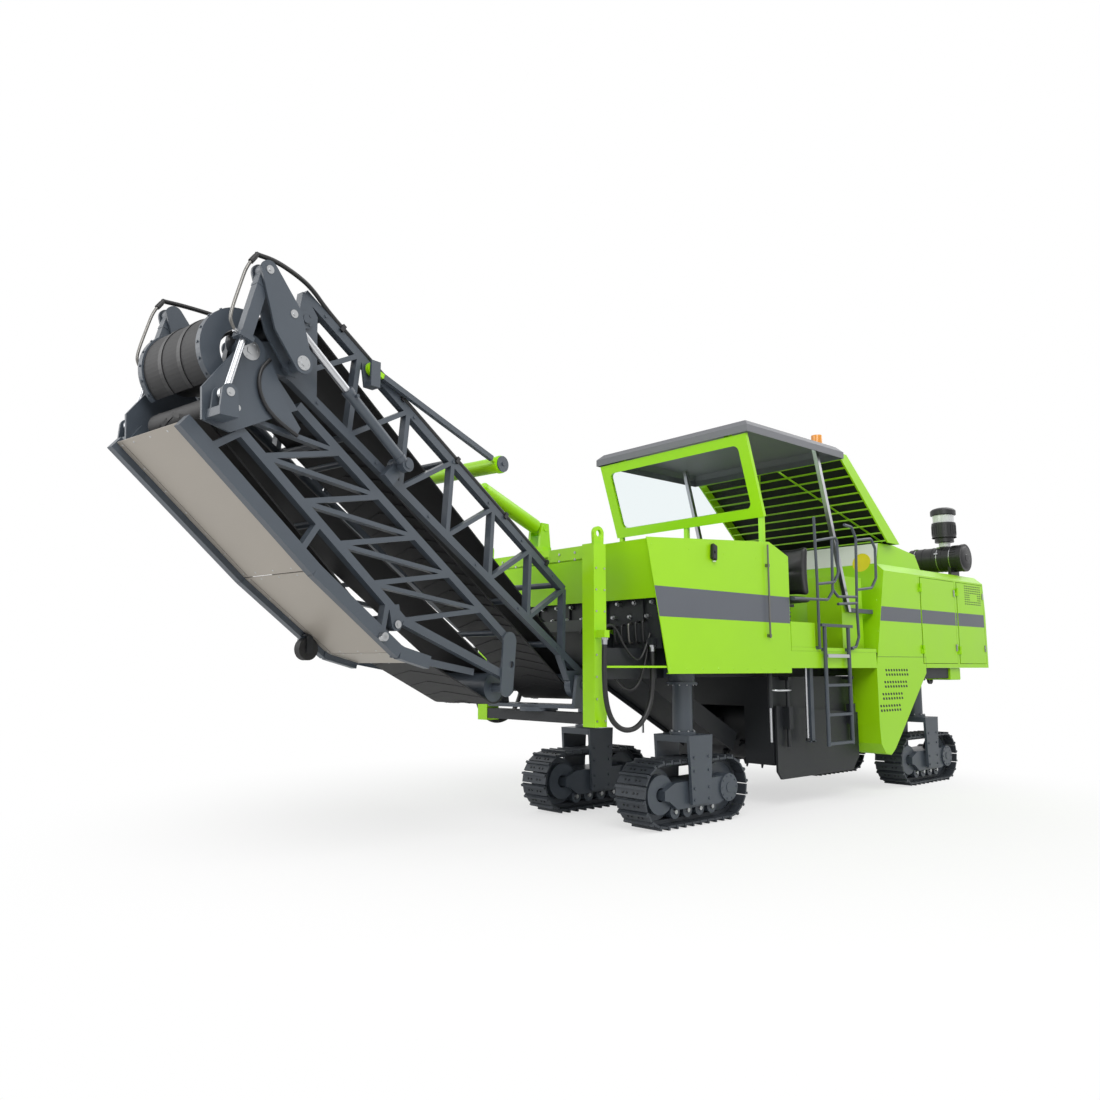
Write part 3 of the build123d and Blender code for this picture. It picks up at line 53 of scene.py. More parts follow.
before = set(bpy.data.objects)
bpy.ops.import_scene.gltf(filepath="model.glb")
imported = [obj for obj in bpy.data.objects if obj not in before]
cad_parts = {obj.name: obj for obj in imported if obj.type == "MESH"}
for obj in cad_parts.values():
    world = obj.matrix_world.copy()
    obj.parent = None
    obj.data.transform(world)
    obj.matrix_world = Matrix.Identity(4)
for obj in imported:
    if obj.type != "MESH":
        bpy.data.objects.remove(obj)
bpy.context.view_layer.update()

# ---- the machine's driving sizes, in millimetres ----
WHEELBASE = 4450
TRACK_OFFSET = 635
TRACK_LENGTH = 1470
TRACK_HEIGHT = 590
SHOE_COUNT = 32
SHOE_WIDTH = 340
SHOE_PLATE = 18
GROUSER = 20
COLUMN_TOP = 1920
BODY_HALF = 1000
FLOOR_TOP = 1600
DECK_FOOT = 1389  # underside of the deck
HOOD_FOOT = 1400
BAY_FACE = 640
FILM = 0.8  # thickness of stripes and of the black films that paint the shade in the vent slots
SEAM = 4
CORNERS = {
    "front_left": (0, 1), "front_right": (0, -1),
    "rear_left": (-WHEELBASE, 1), "rear_right": (-WHEELBASE, -1),
}
SIDES = ((1, "left"), (-1, "right"))

# hoses behind the portal
HOSE_Y = 875
HOSE_ROUTE = (
    (1245, 1640), (1262, 1300), (1210, 1004.6), (1064.5, 882.5), (884.5, 882.5), (739, 1004.6),
    (660.3, 1220.7), (668, 1590),
)

# conveyor, in its own plane
KINGPIN_X = 1200
SLEW = math.radians(9.8)
FOLD_HINGE = (3290, 3290)
LEVER_PIVOT = (3020, 3250)
LEVER_TOP = (3280, 3760)
LEVER_EYE = (3100, 3540)
LINK_EYE = (3500, 2950)
FOLD_FOOT = (2120, 2780)
HOIST_PIVOT = (0, 2640)
STAY_EYE = (2360, 3420)
YOKE_REACH = 1110
STAY_PLANE = 460
LEVER_PLANE = 550
TRUSS_HALF = 400
CHORD_HALF = 25  # from the truss's side to the middle of its chord
BELT_WIDTH = 620
INNER_TOP = ((180, 2060), (2900, 3790))
INNER_LOW = ((-420, 1130), (2985, 3215))
FOOT_PULLEY = (-190, 1235)
HEAD_PULLEY = (2900, 3608)
BEND_ROLLER = (2900, 3335)
TIP_HEAD = (930, 1240)
TIP_ROLLER = (2060, 1690)
TIP_ROLLERS = ((3427, 2914, 80), (*TIP_ROLLER, 70), (*TIP_HEAD, 125))
BELT_TOP = ((*FOOT_PULLEY, 117), (*HEAD_PULLEY, 122))
BELT_UNDER = ((*FOOT_PULLEY, 117), (*BEND_ROLLER, 72))
COVER_LINE = ((3670, 2783), (2740, 2010), (2020, 1500), (1740, 1432))

# pins of the fold, as place, distance to the side and radius
PINS = {
    "levers": ((LEVER_TOP, 608, 26), (LEVER_PIVOT, 608, 46), (LEVER_EYE, 608, 26)),
    "conveyor_tip": (
        (LINK_EYE, 606, 26), (FOLD_HINGE, 456, 62), ((3360, 2916), 456, 20), ((3500, 2830), 456, 16),
        ((3120, 3010), 456, 16), (TIP_HEAD, 430, 38), ((900, 1600), 430, 30), (TIP_ROLLER, 440, 28),
    ),
}

AHEAD, LEFT, UP = Vector((1, 0, 0)), Vector((0, 1, 0)), Vector((0, 0, 1))
BELT_AHEAD = Vector((math.cos(SLEW), math.sin(SLEW), 0))
BELT_LEFT = Vector((-math.sin(SLEW), math.cos(SLEW), 0))

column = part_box("leg_column_front_left")
ORIGIN = Vector(
    (
        (column[0].x + column[1].x) / 2,
        (column[0].y + column[1].y) / 2 - TRACK_OFFSET / 1000,
        column[1].z - COLUMN_TOP / 1000,
    )
)


def at(x, y, z):
    """Point of the machine, from millimetres."""
    return ORIGIN + Vector((x, y, z)) / 1000


def mirrored(points, side):
    """Points of the machine, on its left or as a mirror image on its right."""
    return [at(x, side * y, z) for x, y, z in points]


def on_belt(x, y, z):
    """Point of the turned conveyor: ahead of the kingpin, left of its middle and above the ground."""
    return at(KINGPIN_X, 0, z) + (BELT_AHEAD * x + BELT_LEFT * y) / 1000


def belt_way(x, z):
    """Direction in the conveyor's upright plane."""
    return BELT_AHEAD * x + UP * z


def ring(count, one, two, start=0.0):
    """Even ways out of a circle that lies along two directions; start is counted in steps."""
    turns = [2 * math.pi * (k + start) / count for k in range(count)]
    return [one * math.cos(turn) + two * math.sin(turn) for turn in turns]


# ---- what a user may change ----
class PlanerFinish(bpy.types.PropertyGroup):
    """Colours of the paints and other finishes."""

    lime: bpy.props.FloatVectorProperty(
        name="Body paint", description="Colour of the body panels", subtype="COLOR",
        default=(0.33, 0.69, 0.001),
    )
    slate: bpy.props.FloatVectorProperty(
        name="Steelwork paint", description="Colour of conveyor and legs", subtype="COLOR",
        default=(0.055, 0.068, 0.085),
    )
    charcoal: bpy.props.FloatVectorProperty(
        name="Underbody paint", description="Colour of frame and drum housing", subtype="COLOR",
        default=(0.011, 0.013, 0.016),
    )
    roof: bpy.props.FloatVectorProperty(
        name="Roof paint", description="Colour of the roof", subtype="COLOR", default=(0.13, 0.135, 0.15)
    )
    cover: bpy.props.FloatVectorProperty(
        name="Belt cover", description="Colour of the covers under the tip", subtype="COLOR",
        default=(0.34, 0.31, 0.27),
    )
    stripe: bpy.props.FloatVectorProperty(
        name="Stripe", description="Colour of the stripe along the sides", subtype="COLOR",
        default=(0.1, 0.11, 0.13),
    )


class PlanerFittings(bpy.types.PropertyGroup):
    """Sizes of the small fittings."""

    bolt_radius: bpy.props.FloatProperty(
        name="Bolt head", description="Radius of a bolt head", default=0.012, min=0.002, subtype="DISTANCE"
    )
    rivet_radius: bpy.props.FloatProperty(
        name="Rivet", description="Radius of a rivet in the belt covers", default=0.007, min=0.002,
        subtype="DISTANCE",
    )
    stripe_low: bpy.props.FloatProperty(
        name="Stripe foot", description="Height of the stripe's lower edge", default=1.92, subtype="DISTANCE"
    )
    stripe_high: bpy.props.FloatProperty(
        name="Stripe top", description="Height of the stripe's upper edge", default=2.085, subtype="DISTANCE"
    )


# ---- finishes ----
# a colour that the user may change is given by its name in PlanerFinish
FINISHES = {
    "lime": ("planer_lime", "lime", 0.36, dict(coat=0.04, shift=0.04, bump=0.03)),
    "slate": ("planer_slate", "slate", 0.42, dict(coat=0.1, shift=0.15, bump=0.06)),
    "charcoal": ("planer_charcoal", "charcoal", 0.5, dict(shift=0.25, bump=0.08)),
    "track": ("planer_track", (0.045, 0.052, 0.062), 0.48, dict(metallic=0.25, shift=0.3, bump=0.2)),
    "roof": ("roof_paint", "roof", 0.45, dict(shift=0.08, bump=0.04)),
    "cover": ("cover_sheet", "cover", 0.42, dict(metallic=0.25, shift=0.06, bump=0.03)),
    "stripe": ("stripe_film", "stripe", 0.4, dict(shift=0.08, bump=0.02)),
    "rubber": ("belt_rubber", (0.012, 0.012, 0.013), 0.62, dict(shift=0.3, bump=0.15)),
    "hose": ("hose_rubber", (0.009, 0.009, 0.01), 0.45, dict(shift=0.3, grain=220, bump=0.15)),
    "chrome": ("rod_chrome", (0.52, 0.53, 0.55), 0.3, dict(metallic=1.0, shift=0.03, bump=0.0)),
    "steel": ("bright_steel", (0.45, 0.46, 0.47), 0.3, dict(metallic=1.0, shift=0.1, bump=0.05)),
    "nickel": ("pipe_nickel", (0.17, 0.165, 0.155), 0.34, dict(metallic=0.8, shift=0.1, bump=0.03)),
    "plastic": ("planer_plastic", (0.012, 0.012, 0.014), 0.4, dict(shift=0.2, bump=0.05)),
    "amber": ("amber_lens", (0.85, 0.32, 0.02), 0.18, dict(coat=0.6, shift=0.1, bump=0.0)),
    "bowl": ("clear_bowl", (0.62, 0.63, 0.64), 0.15, dict(coat=0.7, shift=0.05, bump=0.0)),
    "tread": ("bright_tread", (0.55, 0.56, 0.57), 0.35, dict(metallic=0.8, shift=0.08, bump=0.1)),
    "leather": (
        "seat_leather", (0.014, 0.014, 0.015), 0.42, dict(coat=0.15, shift=0.2, grain=320, bump=0.35),
    ),
    "pale": ("pale_panel", (0.80, 0.82, 0.77), 0.35, dict(coat=0.3, shift=0.05, bump=0.02)),
    "yellow": ("reflector", (0.80, 0.70, 0.02), 0.3, dict(coat=0.3, shift=0.1, bump=0.0)),
    "lens": ("lamp_lens", (0.8, 0.82, 0.85), 0.1, dict(coat=0.8, shift=0.02, bump=0.0)),
}

# starts of the CAD nodes' names
NODE_FINISH = {
    "lime": (
        "front_portal", "side_panels", "front_deck", "windscreen_frame", "louvre_panel", "engine_hood",
        "hood_door_", "rear_door_", "belt_guard", "hoist_", "platform_panels",
    ),
    "slate": (
        "leg_column_", "track_frame_", "conveyor_frame", "tip_frame", "fold_levers", "link_barrels",
        "fold_barrels", "slew_bracket", "ladder", "leg_sleeves", "handrails", "conveyor_pins",
    ),
    "charcoal": (
        "main_frame", "drum_housing", "scraper", "feed_conveyor", "engine_block", "operator_platform",
        "milling_drum", "pump_bay", "side_plate_",
    ),
    "track": ("track_front_", "track_rear_"),
    "roof": ("roof",),
    "cover": ("tip_covers",),
    "rubber": ("conveyor_belt", "tip_belt"),
    "hose": ("front_hose_",),
    "chrome": ("link_rods", "fold_rods", "roof_posts"),
    "plastic": ("air_cleaner", "seats"),
    "amber": ("beacon",),
    "glass": ("windscreen_glass",),
}


def finish_of(node):
    """The finish whose list has the longest start of a node's name."""
    starts = [(start, finish) for finish, starts in NODE_FINISH.items() for start in starts]
    return max((len(start), finish) for start, finish in starts if node.startswith(start))[1]


def add_node(tree, kind, **values):
    """New shader node of a kind, with some of its one-word inputs set."""
    node = tree.nodes.new("ShaderNode" + kind)
    for name, value in values.items():
        node.inputs[name].default_value = value
    return node


def new_tree(data):
    """Node tree of a new material or world."""
    data.use_nodes = True
    return data.node_tree


def solid_material(name, colour, roughness, metallic=0.0, coat=0.0, shift=0.12, grain=40.0, bump=0.05):
    """Paint, metal or rubber with a slightly uneven colour, gloss and surface."""
    material = bpy.data.materials.new(name)
    tree = new_tree(material)
    shader = tree.nodes["Principled BSDF"]
    shader.inputs["Metallic"].default_value = metallic
    shader.inputs["Coat Weight"].default_value = coat
    shader.inputs["Coat Roughness"].default_value = 0.15
    place = add_node(tree, "TexCoord")
    clouds = add_node(tree, "TexNoise", Scale=2.2, Detail=5)
    specks = add_node(tree, "TexNoise", Scale=grain, Detail=3)
    tone = add_node(tree, "Mix")
    tone.data_type = "RGBA"
    tone.inputs["A"].default_value = [c * (1 - shift) for c in colour] + [1]
    tone.inputs["B"].default_value = [min(1, c * (1 + shift)) for c in colour] + [1]
    gloss = add_node(tree, "MapRange")
    gloss.inputs["To Min"].default_value = max(0.02, roughness - 0.08)
    gloss.inputs["To Max"].default_value = min(1, roughness + 0.08)
    relief = add_node(tree, "Bump", Strength=bump, Distance=0.002)
    for source, target in (
        (place.outputs["Object"], clouds.inputs["Vector"]),
        (place.outputs["Object"], specks.inputs["Vector"]),
        (clouds.outputs["Fac"], tone.inputs["Factor"]),
        (tone.outputs["Result"], shader.inputs["Base Color"]),
        (clouds.outputs["Fac"], gloss.inputs["Value"]),
        (gloss.outputs["Result"], shader.inputs["Roughness"]),
        (specks.outputs["Fac"], relief.inputs["Height"]),
        (relief.outputs["Normal"], shader.inputs["Normal"]),
    ):
        tree.links.new(source, target)
    return material


def glass_material(name):
    """Window glass, thin enough to look through."""
    material = bpy.data.materials.new(name)
    shader = new_tree(material).nodes["Principled BSDF"]
    shader.inputs["Base Color"].default_value = (0.86, 0.92, 0.93, 1)
    shader.inputs["Roughness"].default_value = 0.02
    shader.inputs["Transmission Weight"].default_value = 1
    shader.inputs["IOR"].default_value = 1.1
    return material


def finish_material(finish):
    """The material of a finish, made when it is first asked for."""
    if finish == "glass":
        return bpy.data.materials.get("window_glass") or glass_material("window_glass")
    name, colour, roughness, rest = FINISHES[finish]
    if isinstance(colour, str):
        colour = getattr(bpy.context.scene.planer_finish, colour)
    return bpy.data.materials.get(name) or solid_material(name, colour, roughness, **rest)


# ---- making pieces ----
def piece(name, bm, finish, body="chassis", smooth=True):
    """A mesh object from bm with one finish, riding on a body."""
    mesh = bpy.data.meshes.new(name)
    bmesh.ops.recalc_face_normals(bm, faces=bm.faces)
    bm.to_mesh(mesh)
    bm.free()
    mesh.materials.append(finish_material(finish))
    if smooth:
        for polygon in mesh.polygons:
            polygon.use_smooth = True
        mesh.set_sharp_from_angle(angle=math.radians(35))
    thing = bpy.data.objects.new(name, mesh)
    bpy.context.scene.collection.objects.link(thing)
    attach(thing, body)
    return thing


def add_disc(bm, centre, axis, radius, height, sides=16, top=None):
    """Closed cylinder or cone standing on centre along axis."""
    axis = Vector(axis).normalized()
    turn = axis.to_track_quat("Z", "Y").to_matrix().to_4x4()
    place = Matrix.Translation(centre + axis * height / 2) @ turn
    ends = {"radius1": radius, "radius2": radius if top is None else top}
    bmesh.ops.create_cone(bm, cap_ends=True, segments=sides, depth=height, matrix=place, **ends)


def add_bolt(bm, centre, axis, radius, height):
    """Six-sided head standing on centre along axis."""
    add_disc(bm, centre, axis, radius, height, sides=6)


def add_block(bm, one, other):
    """Box between two opposite corners."""
    size = Matrix.Diagonal((*(abs(reach) for reach in other - one), 1))
    bmesh.ops.create_cube(bm, size=1, matrix=Matrix.Translation((one + other) / 2) @ size)


def add_slab(bm, centre, ahead, across, size):
    """Box of size (along ahead, along across, along their normal) round centre."""
    ahead, across = ahead.normalized(), across.normalized()
    turn = Matrix((ahead, across, ahead.cross(across))).transposed().to_4x4()
    bmesh.ops.create_cube(bm, size=1, matrix=Matrix.Translation(centre) @ turn @ Matrix.Diagonal((*size, 1)))


def add_bar(bm, start, end, across, width, height):
    """Straight bar from start to end, so wide along across."""
    add_slab(bm, (start + end) / 2, end - start, across, ((end - start).length, width, height))


def add_plate(bm, corners, near, far, spot=at):
    """Flat plate with an upright outline of (x, z) corners, between two distances to the left."""
    one = [bm.verts.new(spot(x, near, z)) for x, z in corners]
    two = [bm.verts.new(spot(x, far, z)) for x, z in corners]
    bm.faces.new(one)
    bm.faces.new(two[::-1])
    for k in range(len(corners)):
        bm.faces.new((one[k], one[k - 1], two[k - 1], two[k]))


def add_film(bm, corners, side=1, thick=FILM):
    """Thin plate on the outer face of the body."""
    add_plate(bm, corners, side * BODY_HALF, side * (BODY_HALF + thick))


def round_edges(bm, radius, segments=2):
    """Round every edge that bm has so far."""
    bmesh.ops.bevel(bm, geom=bm.edges[:], offset=radius, segments=segments, affect="EDGES")


def pipe(name, points, radius, finish, body="chassis"):
    """Bent pipe or hose along a smooth line guided by points."""
    curve = bpy.data.curves.new(name, "CURVE")
    curve.dimensions = "3D"
    curve.bevel_depth = radius
    curve.bevel_resolution = 4
    curve.use_fill_caps = True
    line = curve.splines.new("NURBS")
    line.points.add(len(points) - 1)
    for point, spot in zip(line.points, points):
        point.co = (*spot, 1)
    line.order_u = 3
    line.use_endpoint_u = True
    line.resolution_u = 10
    curve.materials.append(finish_material(finish))
    thing = bpy.data.objects.new(name, curve)
    bpy.context.scene.collection.objects.link(thing)
    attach(thing, body)
    return thing


def curve_mesh(thing):
    """The same pipe as a mesh with smooth faces, in place of the curve."""
    mesh = bpy.data.meshes.new_from_object(thing.evaluated_get(bpy.context.evaluated_depsgraph_get()))
    name = thing.name
    bpy.data.objects.remove(thing)
    mesh.name = name
    for polygon in mesh.polygons:
        polygon.use_smooth = True
    tube = bpy.data.objects.new(name, mesh)
    bpy.context.scene.collection.objects.link(tube)
    return tube


def chord_top(x):
    """Height of a hose's middle that lies on the truss's top chord."""
    (x0, z0), (x1, z1) = INNER_TOP
    return z0 + (z1 - z0) * (x - x0) / (x1 - x0) + 53


def add_pad(bm, low, high, round_edge, crown, pull, channels):
    """Crowned closed cushion: its sides pull in between the corners and its broad faces swell."""
    half = (high - low) / 2
    thin = min(range(3), key=lambda k: half[k])
    wide = [k for k in range(3) if k != thin]
    bmesh.ops.create_cube(bm, size=2)
    bmesh.ops.subdivide_edges(bm, edges=bm.edges[:], cuts=21, use_grid_fill=True)
    for vert in bm.verts:
        spot = Vector([vert.co[k] * half[k] for k in range(3)])
        core = Vector([max(-half[k] + round_edge, min(half[k] - round_edge, spot[k])) for k in range(3)])
        if (spot - core).length > 0:
            spot = core + (spot - core).normalized() * round_edge
        share = [spot[k] / half[k] for k in range(3)]
        swell = (1 - share[wide[0]] ** 2) * (1 - share[wide[1]] ** 2)
        groove = 0
        for line in range(channels):
            middle = -0.6 + 1.2 * line / (channels - 1)
            groove += 0.16 * math.exp(-(((share[wide[1]] - middle) / 0.05) ** 2)) * swell
        spot[thin] *= 1 - crown + crown * swell - groove
        for one, other in (wide, wide[::-1]):
            spot[one] *= 1 - pull * (1 - share[other] ** 2) * abs(share[one])
        vert.co = (low + high) / 2 + spot


def belt_run(rollers, count):
    """Even places round a belt over rollers (x, z, radius), each with its way out of the belt."""
    loop = []
    for way in ring(720, Vector((1, 0)), Vector((0, 1))):
        x, z, radius = max(rollers, key=lambda roller: roller[0] * way.x + roller[1] * way.y + roller[2])
        loop.append((Vector((x, z)) + way * radius, way))
    loop.append(loop[0])
    spans = [(b[0] - a[0]).length for a, b in zip(loop, loop[1:])]
    places = []
    for k in range(count):
        left = sum(spans) * k / count
        step = 0
        while left > spans[step]:
            left -= spans[step]
            step += 1
        (start, way), (end, next_way) = loop[step], loop[step + 1]
        share = left / spans[step] if spans[step] else 0
        places.append((*start.lerp(end, share), (way + next_way).normalized()))
    return places


def add_chevron(bm, spots):
    """Two slanted rows of low bars across a belt, at spots (x, z, way out) from its middle outwards."""
    pitch = BELT_WIDTH / 2 / len(spots) - 4
    for step, (x, z, way) in enumerate(spots):
        out = belt_way(*way)
        for side in (1, -1):
            middle = on_belt(x, side * (step + 0.5) * pitch, z)
            onward = (BELT_LEFT * side + BELT_LEFT.cross(out) * 0.33).normalized()
            add_slab(bm, middle, onward, onward.cross(out), (pitch / 1000 * 1.08, 0.028, 0.010))


def shoe_place(step):
    """Where a shoe sits on its loop, x and z from the loop's middle, and how far it is turned."""
    radius = TRACK_HEIGHT / 2 - GROUSER - SHOE_PLATE / 2
    half_run = (TRACK_LENGTH - TRACK_HEIGHT) / 2
    straight, turn = 2 * half_run, math.pi * radius
    travel = (step + 0.5) * 2 * (straight + turn) / SHOE_COUNT
    if travel < straight:
        return -half_run + travel, -radius, 0
    travel -= straight
    if travel < turn:
        angle = travel / radius
        return half_run + radius * math.sin(angle), -radius * math.cos(angle), angle
    travel -= turn
    if travel < straight:
        return half_run - travel, radius, math.pi
    angle = math.pi + (travel - straight) / radius
    return -half_run + radius * math.sin(angle), -radius * math.cos(angle), angle


class PaintPieces(bpy.types.Operator):
    """Give every CAD piece its finish"""

    bl_idname = "planer.paint_pieces"
    bl_label = "Paint the pieces"

    def execute(self, context):
        for name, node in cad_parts.items():
            node.data.materials.clear()
            node.data.materials.append(finish_material(finish_of(name)))
        return {"FINISHED"}


class AddTrackBolts(bpy.types.Operator):
    """Bolts of the track shoes, drive covers and leg flanges, and the bright caps of the rollers"""

    bl_idname = "planer.add_track_bolts"
    bl_label = "Track fastenings"

    def execute(self, context):
        bolt = context.scene.planer_fittings.bolt_radius
        drive_ring, flange_ring, flange_top = 0.105, 0.107, 816.3
        drive_face, plate_face = SHOE_WIDTH / 2 + 6, SHOE_WIDTH / 2 + 40
        for corner, (x0, side) in CORNERS.items():
            y0 = side * TRACK_OFFSET
            bm = bmesh.new()
            for step in range(SHOE_COUNT):
                x, z, turn = shoe_place(step)
                out = UP * -math.cos(turn) + AHEAD * math.sin(turn)
                ahead = UP * math.sin(turn) + AHEAD * math.cos(turn)
                middle = at(x0 + x, y0, z + TRACK_HEIGHT / 2) + out * SHOE_PLATE / 2000
                for across in (-0.085, -0.04, 0.04, 0.085):
                    add_bolt(bm, middle - ahead * 0.012 + LEFT * across, out, bolt * 0.85, 0.007)
            piece(f"shoe_bolts_{corner}", bm, "charcoal", f"crawler_{corner}", smooth=False)
            bm = bmesh.new()
            drive = at(x0 - (TRACK_LENGTH - TRACK_HEIGHT) / 2, y0, TRACK_HEIGHT / 2)
            for way in (1, -1):
                face = drive + LEFT * way * drive_face / 1000
                for out in ring(10, AHEAD, UP):
                    add_bolt(bm, face + out * drive_ring, LEFT * way, 0.008, 0.006)
                add_disc(bm, face, LEFT * way, 0.045, 0.006, sides=24)
                for x in (x0 - 100, x0 + 100):
                    for z in (230, 330, 480, 600):
                        add_bolt(bm, at(x, y0 + way * plate_face, z), LEFT * way, bolt, 0.009)
            piece(f"frame_bolts_{corner}", bm, "slate", f"crawler_{corner}", smooth=False)
            bm = bmesh.new()
            for roller in (-255, -85, 85, 255):
                for way in (1, -1):
                    hub = at(x0 + roller, y0 + way * 110, 135)
                    add_disc(bm, hub, LEFT * way, 0.024, 0.016, sides=20, top=0.019)
            piece(f"roller_caps_{corner}", bm, "steel", f"crawler_{corner}")
            bm = bmesh.new()
            for out in ring(8, AHEAD, LEFT, 0.5):
                add_bolt(bm, at(x0, y0, flange_top) + out * flange_ring, UP, 0.009, 0.01)
            piece(f"flange_bolts_{corner}", bm, "steel", f"leg_{corner}", smooth=False)
        return {"FINISHED"}


class AddStripe(bpy.types.Operator):
    """Grey stripe along both sides of the body, cut where the panels part"""

    bl_idname = "planer.add_stripe"
    bl_label = "Side stripe"

    def execute(self, context):
        sizes = context.scene.planer_fittings
        hood = 1000 * sizes.stripe_low, 1000 * sizes.stripe_high
        panel = hood[0] - 90, hood[1] + 5
        # lean of the front edges of panel and hood, and where the stripe's foot meets them
        panel_lean, hood_lean = 0.226, -0.225
        panel_front = 708 + (panel[0] - 1830) * panel_lean
        hood_front = -2906 + (hood[0] - 1390) * hood_lean
        lengths = (
            ("chassis", panel, -1236, panel_front, panel_lean),
            ("chassis", hood, -3994, hood_front, hood_lean),
            ("chassis", hood, -4974, -4936, 0),
            ("door", hood, -4920, -4026, 0),
            ("back_door", hood, -5762, -5006, 0),
        )
        for side, label in SIDES:
            for number, (body, (foot, top), rear, front, lean) in enumerate(lengths):
                bm = bmesh.new()
                corners = ((rear, foot), (front, foot), (front + (top - foot) * lean, top), (rear, top))
                add_film(bm, corners, side)
                body = body if body == "chassis" else f"{body}_{label}"
                piece(f"stripe_{label}_{number}", bm, "stripe", body, smooth=False)
        return {"FINISHED"}


class AddVents(bpy.types.Operator):
    """Black films on the belt guard and the rear of the hood that paint the shade inside their vent slots"""

    bl_idname = "planer.add_vents"
    bl_label = "Vent slots"

    def execute(self, context):
        width, pitch, height, lean = 34, 60, 26, 8
        # painted shade: black films on the belt guard where its vent slots open into shade
        bm = bmesh.new()
        for front, top, count in ((-3080, 1378, 9), (-3045, 1245, 9), (-2990, 1113, 8), (-2930, 983, 8)):
            for drop in (0, 50):
                for k in range(count):
                    x, z = front - pitch * k - drop * 0.2, top - drop
                    foot = z - height
                    add_film(bm, ((x, z), (x - width, z), (x - width - lean, foot), (x - lean, foot)))
        piece("guard_slots", bm, "rubber", smooth=False)
        # painted shade: black films on the rear doors where the hood's vent slots open into shade
        pitch, height, rows = 54, 12, 9
        for side, label in SIDES:
            bm = bmesh.new()
            for row in range(rows):
                for k in range(rows):
                    if 3 < row < 7 and 2 < k < 7:  # a blank field among the slots
                        continue
                    x, z = -5225 - k * pitch, 2450 - row * 29
                    add_film(bm, ((x, z), (x - width, z), (x - width, z - height), (x, z - height)), side)
            piece(f"hood_slots_{label}", bm, "charcoal", f"back_door_{label}", smooth=False)
        return {"FINISHED"}


class AddSeats(bpy.types.Operator):
    """Two driver's seats: cushions and backs in black leather on bellows and base plates"""

    bl_idname = "planer.add_seats"
    bl_label = "Seats"

    def execute(self, context):
        for side, label in SIDES:
            right, left = sorted((side * 560, side * 960))
            shapes = (
                ("cushion", (-1698, right + 2, 2052), (-1352, left - 2, 2128), 0.034, 0.30, 0.035, 4),
                ("back", (-1715, right + 6, 2134), (-1608, left - 6, 2650), 0.050, 0.30, 0.09, 3),
            )
            for kind, low, high, *form in shapes:
                bm = bmesh.new()
                add_pad(bm, at(*low), at(*high), *form)
                pad = piece(f"seat_{kind}_{label}", bm, "leather")
                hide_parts("seats")
            # base plates, and bellows round the post between them
            bm = bmesh.new()
            x, y, wide, narrow = -1525, side * 760, 0.054, 0.042
            for low, high in ((FLOOR_TOP + 1, 1622), (2018, 2048)):
                add_block(bm, at(x - 73, y - 58, low), at(x + 73, y + 58, high))
            for z in range(1640, 2000, 40):
                add_disc(bm, at(x, y, z), UP, wide, 0.02, sides=24, top=narrow)
                add_disc(bm, at(x, y, z + 20), UP, narrow, 0.02, sides=24, top=wide)
            add_disc(bm, at(x, y, 1622), UP, 0.04, 0.4, sides=20)
            base = piece(f"seat_base_{label}", bm, "plastic")
            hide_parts("seats")
        return {"FINISHED"}


class AddHoses(bpy.types.Operator):
    """The two thick hydraulic hoses in free loops behind the portal, with their ferrules"""

    bl_idname = "planer.add_hoses"
    bl_label = "Hoses"

    def execute(self, context):
        for side, label in SIDES:
            route = [at(x, side * HOSE_Y, z) for x, z in HOSE_ROUTE]
            hose = pipe(f"loop_hose_{label}", route, 0.022, "hose")
            bm = bmesh.new()
            for end, onward in ((route[0], route[1]), (route[-1], route[-2])):
                way = (onward - end).normalized()
                add_disc(bm, end + way * 0.002, way, 0.027, 0.055, sides=24, top=0.024)
                add_bolt(bm, end + way * 0.002, way, 0.030, 0.016)
            ferrules = piece(f"hose_ferrules_{label}", bm, "steel")
            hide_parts(f"front_hose_{label}")
        return {"FINISHED"}


